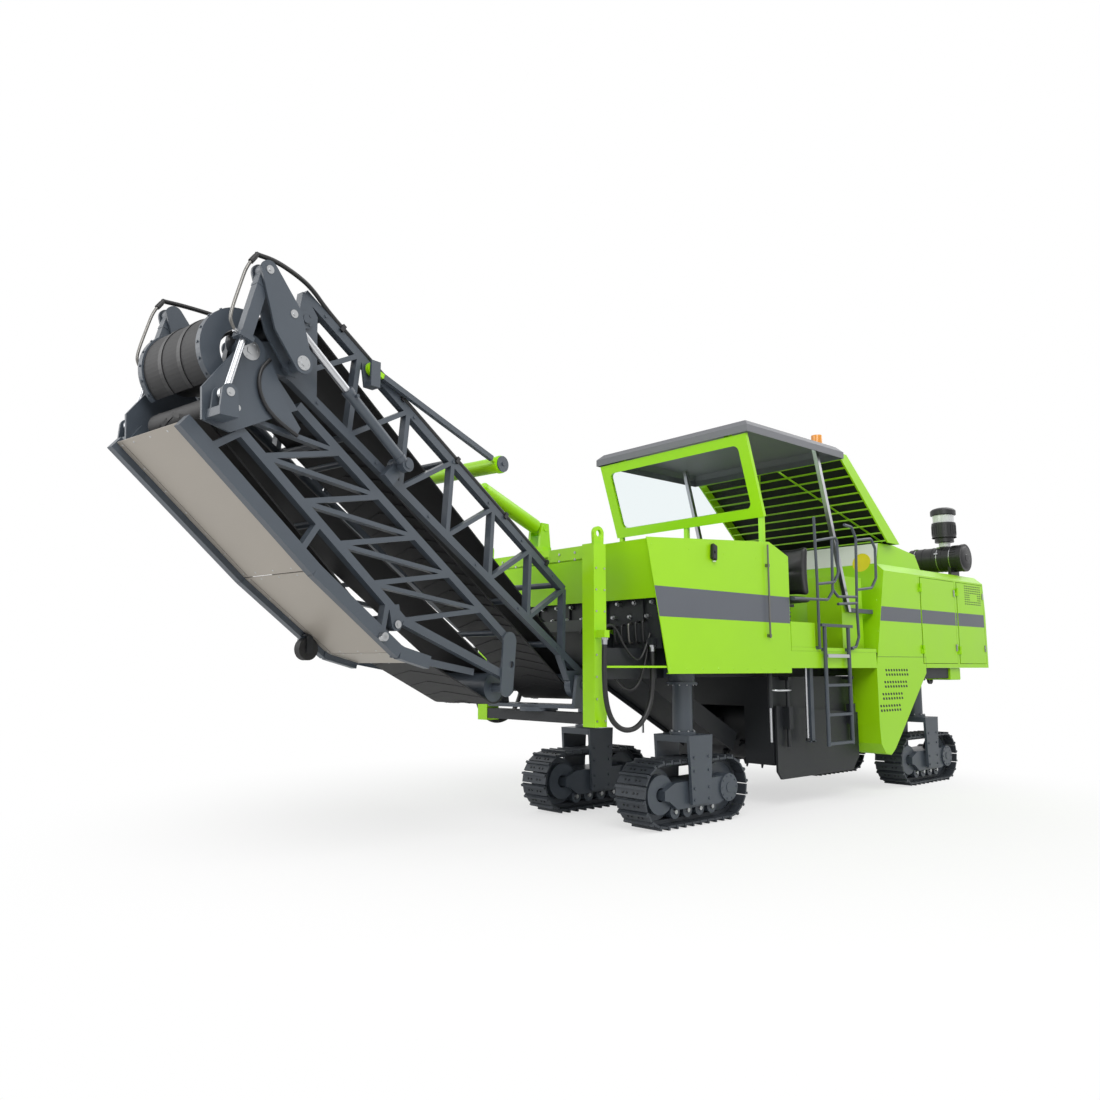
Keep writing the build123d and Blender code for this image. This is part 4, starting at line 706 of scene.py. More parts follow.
class AddBodyFittings(bpy.types.Operator):
    """Lamp, latches, seams, bolts, reflector and grab rod on the body's sides"""

    bl_idname = "planer.add_body_fittings"
    bl_label = "Body fittings"

    def execute(self, context):
        bolt = context.scene.planer_fittings.bolt_radius
        for side, label in SIDES:
            face = side * BODY_HALF
            out = LEFT * side
            # work lamp: a black housing on a foot, with a bright lens below
            bm = bmesh.new()
            add_plate(bm, ((-55, 2360), (-62, 2500), (0, 2520), (14, 2380)), face, face + side * 42)
            round_edges(bm, 0.009, 3)
            add_disc(bm, at(-22, face, 2440), out, 0.012, 0.05)
            piece(f"work_lamp_{label}", bm, "plastic")
            bm = bmesh.new()
            add_disc(bm, at(-24, face + side * 24, 2358), (0.1, 0, -1), 0.016, 0.006, sides=24)
            piece(f"work_lamp_lens_{label}", bm, "lens")
            # grab rod along the panel's rear edge
            bm = bmesh.new()
            add_disc(bm, at(-856, face + side * 28, 1677), UP, 0.009, 0.907)
            for z in (1700, 2380):
                add_block(bm, at(-870, face, z - 14), at(-842, face + side * 36, z + 14))
            piece(f"grab_rod_{label}", bm, "nickel")
            # bolts round the panels
            bm = bmesh.new()
            spots = [(x, 1385) for x in range(-1180, 600, 220)]
            spots += [(x, 2440) for x in (-1190, -700, -200, 300, 800)]
            spots += [(-2960, 1450), (-2960, 1800), (-2960, 2150), (-3960, 1460), (-3960, 2470)]
            for x, z in spots + [(-5800, 1500), (-5800, 1900)]:
                add_disc(bm, at(x, face, z), out, bolt * 0.7, 0.004, sides=12, top=bolt * 0.4)
            piece(f"panel_bolts_{label}", bm, "lime")
            # folded lip along the foot of the side panel
            bm = bmesh.new()
            add_block(bm, at(-1238, face - side * 26, 1342), at(598, face, 1350))
            piece(f"panel_lip_{label}", bm, "lime", smooth=False)
            for body, x in ((f"door_{label}", -4900), (f"back_door_{label}", -5745)):
                bm = bmesh.new()
                for z in (1640, 2330):
                    add_block(bm, at(x - 14, face, z - 42), at(x + 14, face + side * 12, z + 42))
                    round_edges(bm, 0.003)
                piece(f"latches_{body}", bm, "steel", body)
            # painted edge of the platform and sleeves over the feet of the roof's posts
            bm = bmesh.new()
            add_block(bm, at(-2898, face, 1561), at(-1242, face + side * 3, FLOOR_TOP - 1))
            piece(f"platform_edge_{label}", bm, "lime", smooth=False)
            bm = bmesh.new()
            add_block(bm, at(-3006, side * 875, 1997), at(-2551, side * 925, 2043))
            piece(f"post_foot_{label}", bm, "slate", smooth=False)
        # pale intake panel below the louvres, with two round reflectors
        bm = bmesh.new()
        add_plate(bm, ((-3187, 2592), (-3247, 2832), (-3244, 2833), (-3184, 2593)), -895, 895)
        piece("intake_panel", bm, "pale", smooth=False)
        for side, label in SIDES:
            bm = bmesh.new()
            add_disc(bm, at(-3186, side * 715, 2612), (1, 0, 0.22), 0.112, 0.012, sides=48)
            piece(f"reflector_{label}", bm, "yellow")
        # seam between hood and belt guard, and two boxes under the hood
        bm = bmesh.new()
        front, rear, low = -2925, -4068, 1516
        high = low + SEAM
        add_film(bm, ((front, low - SEAM), (rear + 2, low), (rear + 2, high), (front, low)), thick=0.6)
        back, foot = rear + SEAM, HOOD_FOOT
        add_film(bm, ((back, foot), (rear, foot), (rear, high), (back, high)), thick=0.6)
        piece("guard_seam", bm, "charcoal", smooth=False)
        for name, finish, low, high in (
            ("tool_box", "lime", (-5060, 640, 1240), (-4775, 960, DECK_FOOT)),
            ("battery_box", "charcoal", (-4770, 560, 1262), (-4080, 940, DECK_FOOT)),
        ):
            bm = bmesh.new()
            add_block(bm, at(*low), at(*high))
            round_edges(bm, 0.006)
            piece(name, bm, finish)
        return {"FINISHED"}


class AddLouvreBack(bpy.types.Operator):
    """Black sheet behind the louvres that paints the shade in the gaps between the slats, and the brace that
    crosses it
    """

    bl_idname = "planer.add_louvre_back"
    bl_label = "Louvre back"

    def execute(self, context):
        # painted shade: a black sheet where the gaps between the slats look into the shaded hood
        bm = bmesh.new()
        add_plate(bm, ((-2472, 3700), (-2468, 3700), (-3528, 2837), (-3534, 2837)), -978, 978)
        piece("louvre_dark", bm, "rubber", smooth=False)
        bm = bmesh.new()
        for side, _ in SIDES:
            top, foot = at(-2400, side * 120, 3700), at(-3420, side * 860, 2862)
            add_disc(bm, top, foot - top, 0.011, (foot - top).length)
        piece("louvre_braces", bm, "lime")
        return {"FINISHED"}


class AddCleaner(bpy.types.Operator):
    """Bands, ribs, clips, clear bowl and domed lid of the air cleaner"""

    bl_idname = "planer.add_cleaner"
    bl_label = "Air cleaner"

    def execute(self, context):
        def barrel(y):
            """Point of the lying canister's axis."""
            return at(-5400, y, 2830)

        def stack(z):
            """Point of the standing inlet's axis."""
            return at(-5400, 700, z)

        bm = bmesh.new()
        for y in (300, 430, 560, 690):
            add_disc(bm, barrel(y), LEFT, 0.169, 0.014, sides=48)
        for out in ring(28, AHEAD, UP):
            add_slab(bm, barrel(860) + out * 0.169, LEFT, out.cross(LEFT), (0.08, 0.008, 0.016))
        add_disc(bm, barrel(970), LEFT, 0.150, 0.012, sides=48, top=0.13)
        add_disc(bm, barrel(982), LEFT, 0.05, 0.008, sides=32, top=0.04)
        for z, radius in ((3120, 0.154), (3150, 0.153), (3290, 0.153)):
            add_disc(bm, stack(z), UP, radius, 0.010, sides=48)
        for out in ring(24, AHEAD, LEFT):
            add_slab(bm, stack(3222) + out * 0.151, UP, out.cross(UP), (0.12, 0.007, 0.008))
        # domed lid, in rings
        lid, rings = 0.160, 6
        for k in range(rings):
            low, high = (lid * math.sqrt(1 - (step / rings) ** 2) for step in (k, k + 1))
            add_disc(bm, stack(3480 + 55 * k / rings), UP, low, 0.055 / rings, sides=48, top=max(0.002, high))
        piece("cleaner_ribs", bm, "plastic")
        bm = bmesh.new()
        add_disc(bm, stack(3000), UP, 0.073, 0.052, sides=40)
        add_disc(bm, stack(3322), UP, 0.134, 0.10, sides=40)
        piece("cleaner_bowls", bm, "bowl")
        bm = bmesh.new()
        for y, radius in ((332, 0.1685), (640, 0.1685), (812, 0.1745)):
            add_disc(bm, barrel(y), LEFT, radius, 0.009, sides=48)
        for y in (336, 644):
            for angle in (0.4, 1.2):
                out = AHEAD * math.cos(angle) + UP * math.sin(angle)
                add_slab(bm, barrel(y) + out * 0.172, LEFT, out.cross(LEFT), (0.05, 0.02, 0.01))
        piece("cleaner_clips", bm, "steel")
        return {"FINISHED"}


class AddBeltCleats(bpy.types.Operator):
    """Raised chevrons on the rubber belts"""

    bl_idname = "planer.add_belt_cleats"
    bl_label = "Belt cleats"

    def execute(self, context):
        bars = 4
        spacing = 2 * bars
        bm = bmesh.new()
        places = belt_run(TIP_ROLLERS, 34 * spacing)
        for first in range(0, len(places), spacing):
            add_chevron(bm, [places[first - step] for step in range(bars)])
        piece("tip_cleats", bm, "rubber", "conveyor_tip")
        # the straight runs of the inner section's belt, over and under
        bm = bmesh.new()
        for (x0, z0, r0), (x1, z1, r1), up in ((*BELT_TOP, 1), (*BELT_UNDER, -1)):
            run = Vector((x1 - x0, z1 - z0))
            way = Vector((-run.y, run.x)).normalized() * up
            for k in range(26):
                spots = []
                for step in range(bars):
                    share = 0.05 + 0.88 * k / 25 + up * 25 * step / run.length
                    middle = Vector((x0, z0)) + run * share + way * (r0 + (r1 - r0) * share)
                    spots.append((*middle, way))
                add_chevron(bm, spots)
        piece("belt_cleats", bm, "rubber", "conveyor")
        return {"FINISHED"}


class AddCoverRivets(bpy.types.Operator):
    """Rivets and edge folds of the tan covers under the tip"""

    bl_idname = "planer.add_cover_rivets"
    bl_label = "Cover rivets"

    def execute(self, context):
        rivet = context.scene.planer_fittings.rivet_radius
        cover_face = 0.0025  # from the covers' line to their outer face
        bm = bmesh.new()
        seams = bmesh.new()
        for (x0, z0), (x1, z1) in zip(COVER_LINE, COVER_LINE[1:]):
            run = Vector((x1 - x0, z1 - z0))
            normal = belt_way(-run.y, run.x).normalized()
            count = max(2, round(run.length / 210))
            spots = [(0.03 + 0.94 * k / count, y) for k in range(count + 1) for y in (-345, 345)]
            spots += [(share, y) for share in (0.03, 0.97) for y in (-200, 0, 200)]
            for share, y in spots:
                spot = on_belt(x0 + run.x * share, y, z0 + run.y * share) + normal * cover_face
                add_disc(bm, spot, normal, rivet, 0.003, sides=12, top=rivet * 0.6)
            for y in (-318, 318):
                middle = on_belt((x0 + x1) / 2, y, (z0 + z1) / 2) + normal * (cover_face + 0.0001)
                add_slab(seams, middle, belt_way(*run), BELT_LEFT, (run.length / 1000 - 0.03, 0.003, 0.0012))
        piece("cover_rivets", bm, "steel", "conveyor_tip")
        # turned edge under the covers' end, and small rollers beside the bend
        bm = bmesh.new()
        for y in (-366, 366):
            add_bar(bm, on_belt(2056, y, 1490), on_belt(1230, y, 1362), BELT_LEFT, 0.012, 0.05)
        piece("cover_lips", bm, "slate", "conveyor_tip", smooth=False)
        bm = bmesh.new()
        for side, _ in SIDES:
            add_disc(bm, on_belt(2195, side * 452 - 18, 1602), BELT_LEFT, 0.030, 0.036, sides=24)
            add_disc(bm, on_belt(2195, side * 440 - 30, 1602), BELT_LEFT, 0.012, 0.06)
        piece("cover_rollers", bm, "steel", "conveyor_tip")
        # caster that the folded tip rests on when it is set down
        bm = bmesh.new()
        wheel = on_belt(2214, -372, 1530)
        add_disc(bm, wheel - BELT_LEFT * 0.03, BELT_LEFT, 0.082, 0.06, sides=40)
        add_disc(bm, wheel - BELT_LEFT * 0.036, BELT_LEFT, 0.03, 0.072, sides=20)
        piece("cover_caster", bm, "rubber", "conveyor_tip")
        bm = bmesh.new()
        for across in (-0.042, 0.042):
            add_slab(bm, wheel + BELT_LEFT * across + UP * 0.035, BELT_AHEAD, BELT_LEFT, (0.05, 0.006, 0.13))
        add_slab(bm, wheel + UP * 0.1, BELT_AHEAD, BELT_LEFT, (0.09, 0.09, 0.012))
        piece("caster_fork", bm, "charcoal", "conveyor_tip", smooth=False)
        piece("cover_seams", seams, "charcoal", "conveyor_tip", smooth=False)
        return {"FINISHED"}


class AddFoldFittings(bpy.types.Operator):
    """Pins, glands, pipes and hoses of the conveyor's fold"""

    bl_idname = "planer.add_fold_fittings"
    bl_label = "Fold fittings"

    def execute(self, context):
        for side, label in SIDES:
            self.pin_caps(side, label)
            self.fold_hose(side, label, self.link_pipe(side, label))
            self.fold_glands(side, label)
            bm = bmesh.new()
            for bay in range(7):
                for (x0, z0), (x1, z1) in (INNER_TOP, INNER_LOW):
                    share = 0.06 + 0.88 * bay / 6
                    spot = on_belt(x0 + (x1 - x0) * share, side * (TRUSS_HALF + 30), z0 + (z1 - z0) * share)
                    add_bolt(bm, spot, BELT_LEFT * side, 0.011, 0.008)
            piece(f"truss_bolts_{label}", bm, "slate", "conveyor", smooth=False)
        return {"FINISHED"}

    def pin_caps(self, side, label):
        """Bright caps over the pins, the large ones with a ring of bolts."""
        out = BELT_LEFT * side
        for body, pins in PINS.items():
            bm = bmesh.new()
            for (x, z), y, radius in pins:
                spot = on_belt(x, side * y, z)
                add_disc(bm, spot, out, radius / 1000, 0.004, sides=24)
                add_bolt(bm, spot + out * 0.004, out, radius / 2200, 0.004)
                if radius > 40:
                    for way in ring(6, BELT_AHEAD, UP):
                        add_bolt(bm, spot + way * radius / 1330 + out * 0.004, out, 0.005, 0.004)
            piece(f"pin_caps_{body}_{label}", bm, "steel", body, smooth=False)

    def link_pipe(self, side, label):
        """Gland, port and pipe of the link cylinder; gives the pipe's end and the way on from it."""
        out = BELT_LEFT * side
        down = belt_way(*(Vector(LINK_EYE) - Vector(LEVER_TOP))).normalized()
        ahead = down.cross(BELT_LEFT)
        reach, barrel = 0.462, 0.36  # from the top pin down to the gland, and back up to the rear band
        gland = on_belt(LEVER_TOP[0], side * LEVER_PLANE, LEVER_TOP[1]) + down * reach
        bm = bmesh.new()
        add_slab(bm, gland, ahead, out, (0.094, 0.086, 0.03))
        add_slab(bm, gland - down * barrel, ahead, out, (0.078, 0.070, 0.02))
        for x in (-0.036, 0.036):
            for y in (-0.034, 0.034):
                add_bolt(bm, gland + ahead * x + out * y + down * 0.014, down, 0.006, 0.008)
        piece(f"link_glands_{label}", bm, "slate", "link_tubes", smooth=False)
        bm = bmesh.new()
        add_disc(bm, gland - down * 0.012 + ahead * 0.04, ahead, 0.014, 0.03, sides=12)
        piece(f"link_ports_{label}", bm, "steel", "link_tubes")
        start = gland - down * 0.012 + ahead * 0.06
        route = ((0, 0), (0.03, 0.02), (0.06, 0.07), (0.058, 0.30), (0.055, 0.42), (0.035, 0.475))
        line = [start + ahead * x - down * z for x, z in route]
        pipe(f"link_pipe_{label}", line, 0.010, "nickel", "link_tubes")
        end, way = line[-1], (line[-1] - line[-2]).normalized()
        bm = bmesh.new()
        add_disc(bm, end - way * 0.02, way, 0.017, 0.05, sides=12)
        piece(f"link_union_{label}", bm, "hose", "link_tubes")
        return end, way

    def fold_hose(self, side, label, union):
        """Black hose from the pipe's union over the lever's top and along the truss's chord, with clips."""
        end, way = union
        chord_y = side * (TRUSS_HALF + CHORD_HALF)
        over = [end + way * 0.012, end + way * 0.06]
        for x, y, z in ((3343, 550, 3850), (3208, 545, 3862), (3019, 500, 3850), (2870, 455, 3825)):
            over.append(on_belt(x, side * y, z))
        over.append(on_belt(2720, chord_y, 3729))
        over += [on_belt(x, chord_y, chord_top(x)) for x in (2500, 2200, 1900, 1500, 1100, 700, 420)]
        hose = curve_mesh(pipe(f"fold_hose_{label}", over, 0.015, "hose", "conveyor"))
        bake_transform(hose)
        bm = bmesh.new()
        for x in (2600, 2050, 1500, 950, 430):
            middle = on_belt(x, chord_y, chord_top(x) - 8)
            onward = on_belt(x + 100, chord_y, chord_top(x + 100) - 8) - middle
            add_slab(bm, middle, onward, BELT_LEFT, (0.03, 0.044, 0.05))
        piece(f"hose_clips_{label}", bm, "plastic", "conveyor", smooth=False)

    def fold_glands(self, side, label):
        """Gland, foot ring and port of the fold cylinder."""
        out = BELT_LEFT * side
        axis = belt_way(*(Vector(LEVER_EYE) - Vector(FOLD_FOOT))).normalized()
        foot = on_belt(FOLD_FOOT[0], side * LEVER_PLANE, FOLD_FOOT[1])
        bm = bmesh.new()
        add_disc(bm, foot + axis * 0.625, axis, 0.042, 0.034, sides=32)
        add_disc(bm, foot + axis * 0.05, axis, 0.040, 0.03, sides=32)
        add_disc(bm, foot + axis * 0.60 + out * 0.03, out, 0.012, 0.03, sides=12)
        piece(f"fold_glands_{label}", bm, "slate", "fold_tubes")


class AddArchGuides(bpy.types.Operator):
    """Curved plates and bowed guard that keep the belt's slack in, bearing caps and stay sleeves"""

    bl_idname = "planer.add_arch_guides"
    bl_label = "Arch guides"

    def execute(self, context):
        arc = (
            (3165, 3262), (3212, 3214), (3234, 3150), (3236, 3080), (3212, 3012), (3172, 2955), (3110, 2905),
            (3030, 2862), (2950, 2828),
        )
        back = ((2925, 2880), (2990, 2960), (3060, 3060), (3110, 3180))
        for side, label in SIDES:
            bm = bmesh.new()
            add_plate(bm, arc + back, side * 462, side * 468, on_belt)
            piece(f"arch_plate_{label}", bm, "slate", "conveyor_tip", smooth=False)
            edge = [on_belt(x, side * 472, z) for x, z in arc]
            pipe(f"arch_edge_{label}", edge, 0.012, "hose", "conveyor_tip")
        # bowed guard over the slack loop of the inner belt, with its ribs
        half, rib, rim = 360, 267, 279
        for name, finish, spans, inner, outer in (
            ("slack_guard", "rubber", ((-half, half),), 262, rib),
            ("slack_bands", "hose", ((-130, -90), (90, 130)), rib, 272),
            ("slack_edges", "slate", ((-half, -318), (318, half)), rib, rim),
            ("slack_ends", "slate", ((-half - 6, -half), (half, half + 6)), 150, rim),
        ):
            bm = bmesh.new()
            for near, far in spans:
                for turn in range(-50, 100, 6):
                    self.add_arc_plate(bm, turn, turn + 6, inner, outer, near, far)
            piece(name, bm, finish, "conveyor")
        # bolts of the guard, and bearing caps of the belt's pulleys
        bm = bmesh.new()
        hinge = on_belt(FOLD_HINGE[0], 0, FOLD_HINGE[1])
        for y in (-0.339, 0.339):
            for turn in range(-40, 101, 20):
                way = belt_way(math.cos(math.radians(turn)), math.sin(math.radians(turn)))
                add_bolt(bm, hinge + BELT_LEFT * y + way * rim / 1000, way, 0.009, 0.007)
        for side, _ in SIDES:
            out = BELT_LEFT * side
            for x, z in (HEAD_PULLEY, BEND_ROLLER, FOOT_PULLEY):
                hub = on_belt(x, side * (TRUSS_HALF + 30), z)
                add_disc(bm, hub, out, 0.058, 0.014, sides=24)
                add_disc(bm, hub, out, 0.026, 0.03)
                for way in ring(4, BELT_AHEAD, UP, 0.5):
                    add_bolt(bm, hub + way * 0.044, out, 0.008, 0.022)
        piece("bearing_caps", bm, "slate", "conveyor", smooth=False)
        # dark sleeves over the hoist's two stays, and the ends of its cross tube
        foot, eye = Vector(HOIST_PIVOT), Vector(STAY_EYE)
        yoke = foot + (eye - foot).normalized() * YOKE_REACH
        bm = bmesh.new()
        for side, _ in SIDES:
            out = BELT_LEFT * side
            start, end = (on_belt(spot.x, side * STAY_PLANE, spot.y) for spot in (yoke, eye))
            bare = (end - start).normalized() * 0.1
            add_bar(bm, start + bare, end - bare, BELT_LEFT, 0.036, 0.040)
            add_disc(bm, start + out * 0.030, out, 0.064, 0.008, sides=32)
            add_bolt(bm, start + out * 0.038, out, 0.016, 0.01)
        piece("stay_sleeves", bm, "slate", "hoist_arm", smooth=False)
        return {"FINISHED"}

    def add_arc_plate(self, bm, start, end, inner, outer, near, far):
        """Stretch of a bowed plate round the fold hinge, between two angles and two distances to the left."""
        x, z = FOLD_HINGE
        corners = []
        for turn, radius in ((start, inner), (end, inner), (end, outer), (start, outer)):
            angle = math.radians(turn)
            corners.append((x + radius * math.cos(angle), z + radius * math.sin(angle)))
        add_plate(bm, corners, near, far, on_belt)


class AddPlatformFittings(bpy.types.Operator):
    """Desks, wheels, levers, steps and floor ribs of the operator's platform, and rods beside the drum"""

    bl_idname = "planer.add_platform_fittings"
    bl_label = "Platform fittings"

    def execute(self, context):
        for side, label in SIDES:
            bm = bmesh.new()
            outline = ((-1205, 2362), (-1240, 2400), (-1060, 2490), (-1045, 2362))
            add_plate(bm, outline, side * 455, side * 895)
            round_edges(bm, 0.008)
            for k in range(5):
                lever = at(-1180 + 22 * k, side * 675 + 55 * (k - 2), 2438 + 11 * k)
                add_disc(bm, lever, (-0.45, 0, 0.9), 0.011, 0.05, sides=12, top=0.008)
            piece(f"desk_{label}", bm, "plastic")
            # steering wheel: rim, three spokes and hub
            bm = bmesh.new()
            radius, spokes, spoke_turn = 0.155, 3, 0.5
            centre, tilt = at(-1255, side * 675, 2450), Vector((-0.75, 0, 0.65)).normalized()
            upright = tilt.cross(LEFT)
            rim = [way * radius for way in ring(36, LEFT, upright)]
            for one, two in zip(rim, rim[1:] + rim[:1]):
                add_disc(bm, centre + one, two - one, 0.012, (two - one).length * 1.15, sides=10)
            for way in ring(spokes, LEFT, upright, spokes * spoke_turn / (2 * math.pi)):
                add_disc(bm, centre, way, 0.010, 0.15, sides=10)
            add_disc(bm, centre - tilt * 0.11, tilt, 0.022, 0.13)
            piece(f"wheel_{label}", bm, "plastic")
            # bright top step with ribs
            bm = bmesh.new()
            add_block(bm, at(-2238, side * 1014, 1497), at(-1826, side * 1054, 1531))
            for x in range(-2225, -1800, 33):
                add_block(bm, at(x, side * 1013.5, 1531), at(x + 14, side * 1054.5, 1534))
            piece(f"bright_step_{label}", bm, "tread", smooth=False)
            # guide pillar and rod beside the drum's side plate, and a pipe before it
            bm = bmesh.new()
            add_block(bm, at(-1768, side * 846, 640), at(-1712, side * 900, DECK_FOOT))
            add_block(bm, at(-1790, side * 846, 640), at(-1690, side * 900, 652))
            piece(f"guide_pillar_{label}", bm, "slate", smooth=False)
            bm = bmesh.new()
            add_disc(bm, at(-1668, side * 880, 660), UP, 0.013, 0.73)
            add_disc(bm, at(-1075, side * 850, 670), UP, 0.013, 0.33)
            piece(f"guide_rods_{label}", bm, "chrome")
            bm = bmesh.new()
            add_disc(bm, at(-1075, side * 850, 1000), UP, 0.024, 0.389)
            add_disc(bm, at(-1668, side * 880, 652), UP, 0.022, 0.03)
            piece(f"guide_tubes_{label}", bm, "charcoal")
            bow = (
                (-1080, 872, 1175), (-1100, 925, 1170), (-1220, 940, 1170), (-1340, 925, 1170),
                (-1366, 872, 1175),
            )
            pipe(f"grab_bow_{label}", mirrored(bow, side), 0.010, "chrome")
        bm = bmesh.new()
        for x in range(-2380, -1350, 60):
            add_block(bm, at(x, -420, FLOOR_TOP), at(x + 30, 420, FLOOR_TOP + 4))
        piece("floor_ribs", bm, "charcoal", smooth=False)
        return {"FINISHED"}


class AddFrontFittings(bpy.types.Operator):
    """Pipes, valves and rails round the pump bay and the portal"""

    bl_idname = "planer.add_front_fittings"
    bl_label = "Front fittings"

    def execute(self, context):
        ports = bmesh.new()
        for row, z in enumerate((1840, 1960, 2080, 2180)):
            for k in range(9):
                y = -820 + k * 205 + (row % 2) * 60
                if abs(y) <= 900:
                    add_bolt(ports, at(BAY_FACE, y, z), AHEAD, 0.020, 0.03)
                    add_disc(ports, at(BAY_FACE + 30, y, z), AHEAD, 0.014, 0.02)
        piece("bay_ports", ports, "steel", smooth=False)
        bm = bmesh.new()
        for y in (-700, -250, 250, 700):
            add_block(bm, at(BAY_FACE, y - 70, 1800), at(BAY_FACE + 22, y + 70, 2200))
        piece("bay_valves", bm, "charcoal", smooth=False)
        high_sag = (
            (1138, 740, 1700), (1080, 745, 1760), (1010, 770, 1740), (930, 800, 1560), (800, 832, 1430),
            (700, 832, 1560), (645, 832, 1690),
        )
        low_sag = (
            (1138, 700, 1500), (1060, 705, 1470), (960, 730, 1260), (820, 780, 1180), (710, 808, 1330),
            (645, 808, 1590),
        )
        for side, label in SIDES:
            for k in range(5):
                y, z = 440 + 85 * k, 1760 + 12 * k
                line = (
                    (645, y, z), (676, y, z - 2), (684, y, z - 25), (684, y + 6, 1640), (676, y + 8, 1612),
                    (645, y + 8, 1610),
                )
                finish = "nickel" if k == 2 else "hose"
                pipe(f"bay_pipe_{label}_{k}", mirrored(line, side), 0.010, finish)
            # two thin hoses that sag from the post to the bay
            for k, (sag, radius) in enumerate(((high_sag, 0.011), (low_sag, 0.013))):
                pipe(f"sag_hose_{label}_{k}", mirrored(sag, side), radius, "hose")
            # thin rail from the post back to the side panel
            bm = bmesh.new()
            add_bar(bm, at(604, side * 965, 1402), at(1150, side * 786, 1402), UP, 0.017, 0.045)
            piece(f"foot_rail_{label}", bm, "lime", smooth=False)
            # bolts down the post and along the portal's head
            bm = bmesh.new()
            for z in range(960, 2400, 180):
                for x in (1160, 1256):
                    add_bolt(bm, at(x, side * 790, z), LEFT * side, 0.009, 0.006)
            for z in (2320, 2380):
                for y in (300, 500, 620):
                    add_bolt(bm, at(1220, side * y, z), AHEAD, 0.011, 0.008)
            piece(f"portal_bolts_{label}", bm, "steel", smooth=False)
            # bolts under the flanges of the leg sleeves
            flange_foot, flange_ring = 1240, 0.132
            bm = bmesh.new()
            for x in (0, -WHEELBASE):
                for out in ring(12, AHEAD, LEFT):
                    middle = at(x, side * TRACK_OFFSET, flange_foot)
                    add_bolt(bm, middle + out * flange_ring, -UP, 0.007, 0.007)
            piece(f"sleeve_bolts_{label}", bm, "steel", smooth=False)
        return {"FINISHED"}


class BuildStage(bpy.types.Operator):
    """White floor and backdrop, soft lamps and the camera"""

    bl_idname = "planer.build_stage"
    bl_label = "Studio"

    def execute(self, context):
        scene = context.scene
        scene.view_settings.view_transform = "Standard"
        floor_plane()
        world_light(scene)
        lamps = (("key", (7, 9, 10), 900), ("fill", (11, -4, 6), 350), ("back", (-9, 3, 9), 350))
        for name, place, power in lamps:
            lamp = bpy.data.lights.new(name, "AREA")
            lamp.energy = power
            lamp.size = 7
            thing = bpy.data.objects.new(name, lamp)
            thing.location = place
            looks = Vector((0, 0, 1.5)) - Vector(place)
            thing.rotation_euler = looks.to_track_quat("-Z", "Y").to_euler()
            scene.collection.objects.link(thing)
        lens = bpy.data.cameras.new("camera")
        lens.sensor_width = 36
        lens.lens = 36 * 889 / 1100
        camera = bpy.data.objects.new("camera", lens)
        camera.location = at(6426, 6056, 1400)
        turn, lift = math.radians(48.5), math.radians(7.5)
        looks = Vector((-math.cos(turn) * math.cos(lift), -math.sin(turn) * math.cos(lift), math.sin(lift)))
        camera.rotation_euler = looks.to_track_quat("-Z", "Y").to_euler()
        scene.collection.objects.link(camera)
        scene.camera = camera
        return {"FINISHED"}


def floor_plane():
    """Pale floor that keeps the machine's shadow near it and is plain white further off."""
    bm = bmesh.new()
    bmesh.ops.create_grid(bm, x_segments=2, y_segments=2, size=400)
    mesh = bpy.data.meshes.new("floor")
    bm.to_mesh(mesh)
    bm.free()
    material = bpy.data.materials.new("floor_white")
    tree = new_tree(material)
    tree.nodes.clear()
    paper = add_node(tree, "BsdfDiffuse", Color=(0.92, 0.92, 0.92, 1))
    glow = add_node(tree, "Emission", Strength=1)
    path = add_node(tree, "LightPath")
    place = add_node(tree, "TexCoord")
    reach = add_node(tree, "VectorMath")
    reach.operation = "LENGTH"
    fade = add_node(tree, "MapRange")
    fade.interpolation_type = "SMOOTHSTEP"
    fade.inputs["From Min"].default_value = 2.6
    fade.inputs["From Max"].default_value = 6.4
    fade.inputs["To Min"].default_value = 0.62
    seen = add_node(tree, "Math")
    seen.operation = "MULTIPLY"
    mix = add_node(tree, "MixShader")
    out = add_node(tree, "OutputMaterial")
    for source, target in (
        (place.outputs["Object"], reach.inputs[0]),
        (reach.outputs["Value"], fade.inputs["Value"]),
        (fade.outputs["Result"], seen.inputs[0]),
        (path.outputs["Is Camera Ray"], seen.inputs[1]),
        (seen.outputs["Value"], mix.inputs["Fac"]),
        (paper.outputs["BSDF"], mix.inputs[1]),
        (glow.outputs["Emission"], mix.inputs[2]),
        (mix.outputs["Shader"], out.inputs["Surface"]),
    ):
        tree.links.new(source, target)
    mesh.materials.append(material)
    floor = bpy.data.objects.new("floor", mesh)
    floor.location.z = -0.002
    bpy.context.scene.collection.objects.link(floor)
    return floor


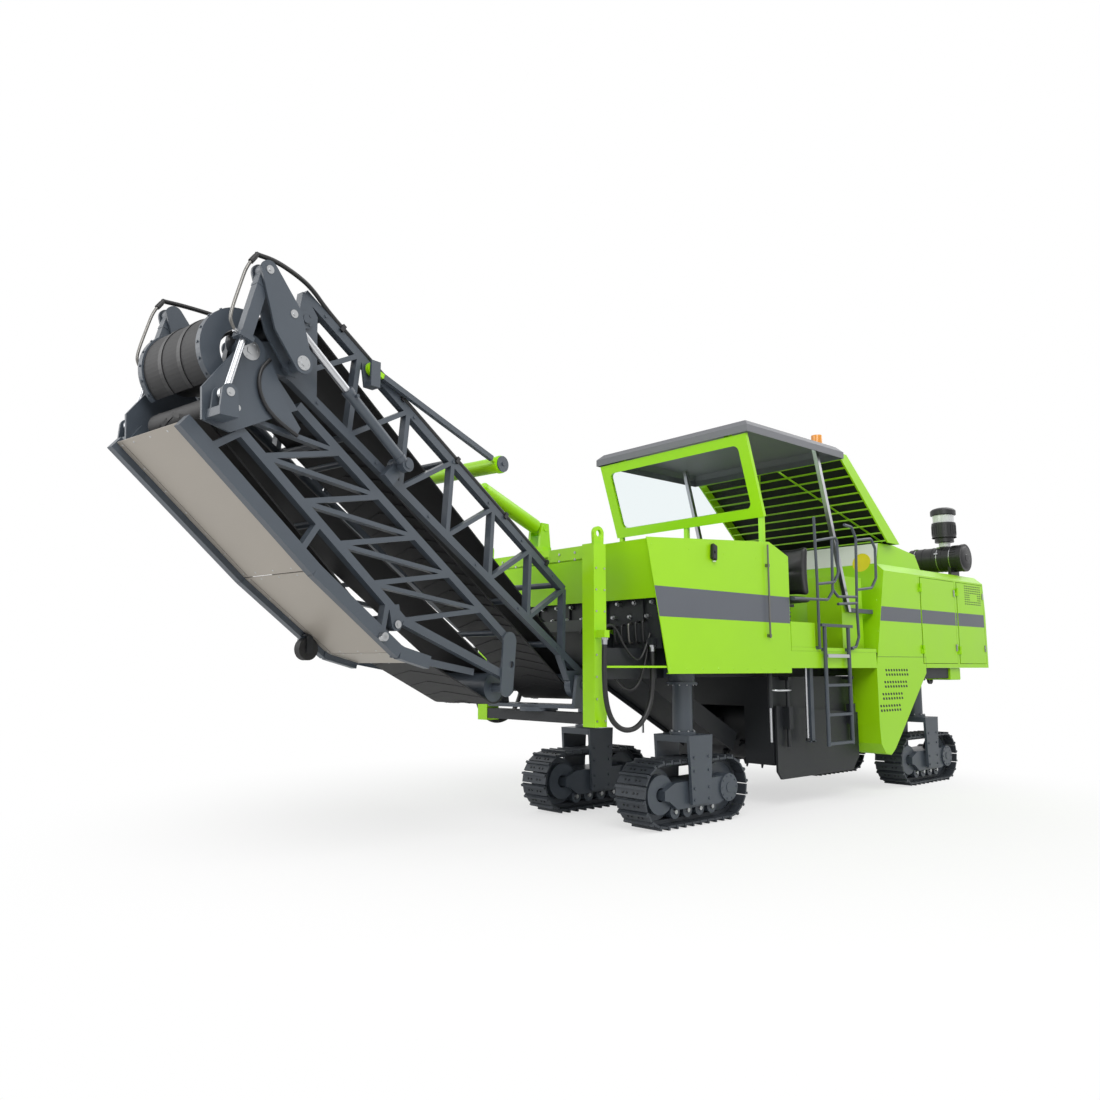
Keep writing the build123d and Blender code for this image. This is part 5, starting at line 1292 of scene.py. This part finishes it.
def world_light(scene):
    """Even sky: plain white to the eye, in mirrors and through glass, softer as a light."""
    scene.world = bpy.data.worlds.new("studio")
    tree = new_tree(scene.world)
    tree.nodes.clear()
    light = add_node(tree, "Background", Color=(1, 1, 1, 1), Strength=0.55)
    white = add_node(tree, "Background", Color=(1, 1, 1, 1), Strength=1)
    path = add_node(tree, "LightPath")
    seen = path.outputs["Is Camera Ray"]
    for ray in ("Is Transmission Ray", "Is Glossy Ray"):
        either = add_node(tree, "Math")
        either.operation = "MAXIMUM"
        tree.links.new(seen, either.inputs[0])
        tree.links.new(path.outputs[ray], either.inputs[1])
        seen = either.outputs["Value"]
    mix = add_node(tree, "MixShader")
    tree.links.new(seen, mix.inputs["Fac"])
    tree.links.new(light.outputs["Background"], mix.inputs[1])
    tree.links.new(white.outputs["Background"], mix.inputs[2])
    tree.links.new(mix.outputs["Shader"], add_node(tree, "OutputWorld").inputs["Surface"])


STEPS = (
    PaintPieces, AddTrackBolts, AddStripe, AddVents, AddSeats, AddHoses, AddBodyFittings, AddLouvreBack,
    AddCleaner, AddBeltCleats, AddCoverRivets, AddFoldFittings, AddArchGuides, AddPlatformFittings,
    AddFrontFittings, BuildStage,
)


class PlanerPanel(bpy.types.Panel):
    """The planer's finishes, fittings and steps"""

    bl_idname = "VIEW3D_PT_planer"
    bl_label = "Cold planer"
    bl_space_type = "VIEW_3D"
    bl_region_type = "UI"
    bl_category = "Planer"

    def draw(self, context):
        for group in (context.scene.planer_finish, context.scene.planer_fittings):
            for name in group.__annotations__:
                self.layout.prop(group, name)
        for step in STEPS:
            self.layout.operator(step.bl_idname)


CLASSES = (PlanerFinish, PlanerFittings, *STEPS, PlanerPanel)


def register():
    for each in CLASSES:
        bpy.utils.register_class(each)
    bpy.types.Scene.planer_finish = bpy.props.PointerProperty(type=PlanerFinish)
    bpy.types.Scene.planer_fittings = bpy.props.PointerProperty(type=PlanerFittings)


def unregister():
    del bpy.types.Scene.planer_fittings
    del bpy.types.Scene.planer_finish
    for each in reversed(CLASSES):
        bpy.utils.unregister_class(each)


def main():
    register()
    for step in STEPS:
        group, name = step.bl_idname.split(".")
        getattr(getattr(bpy.ops, group), name)()


if __name__ == "__main__":
    main()
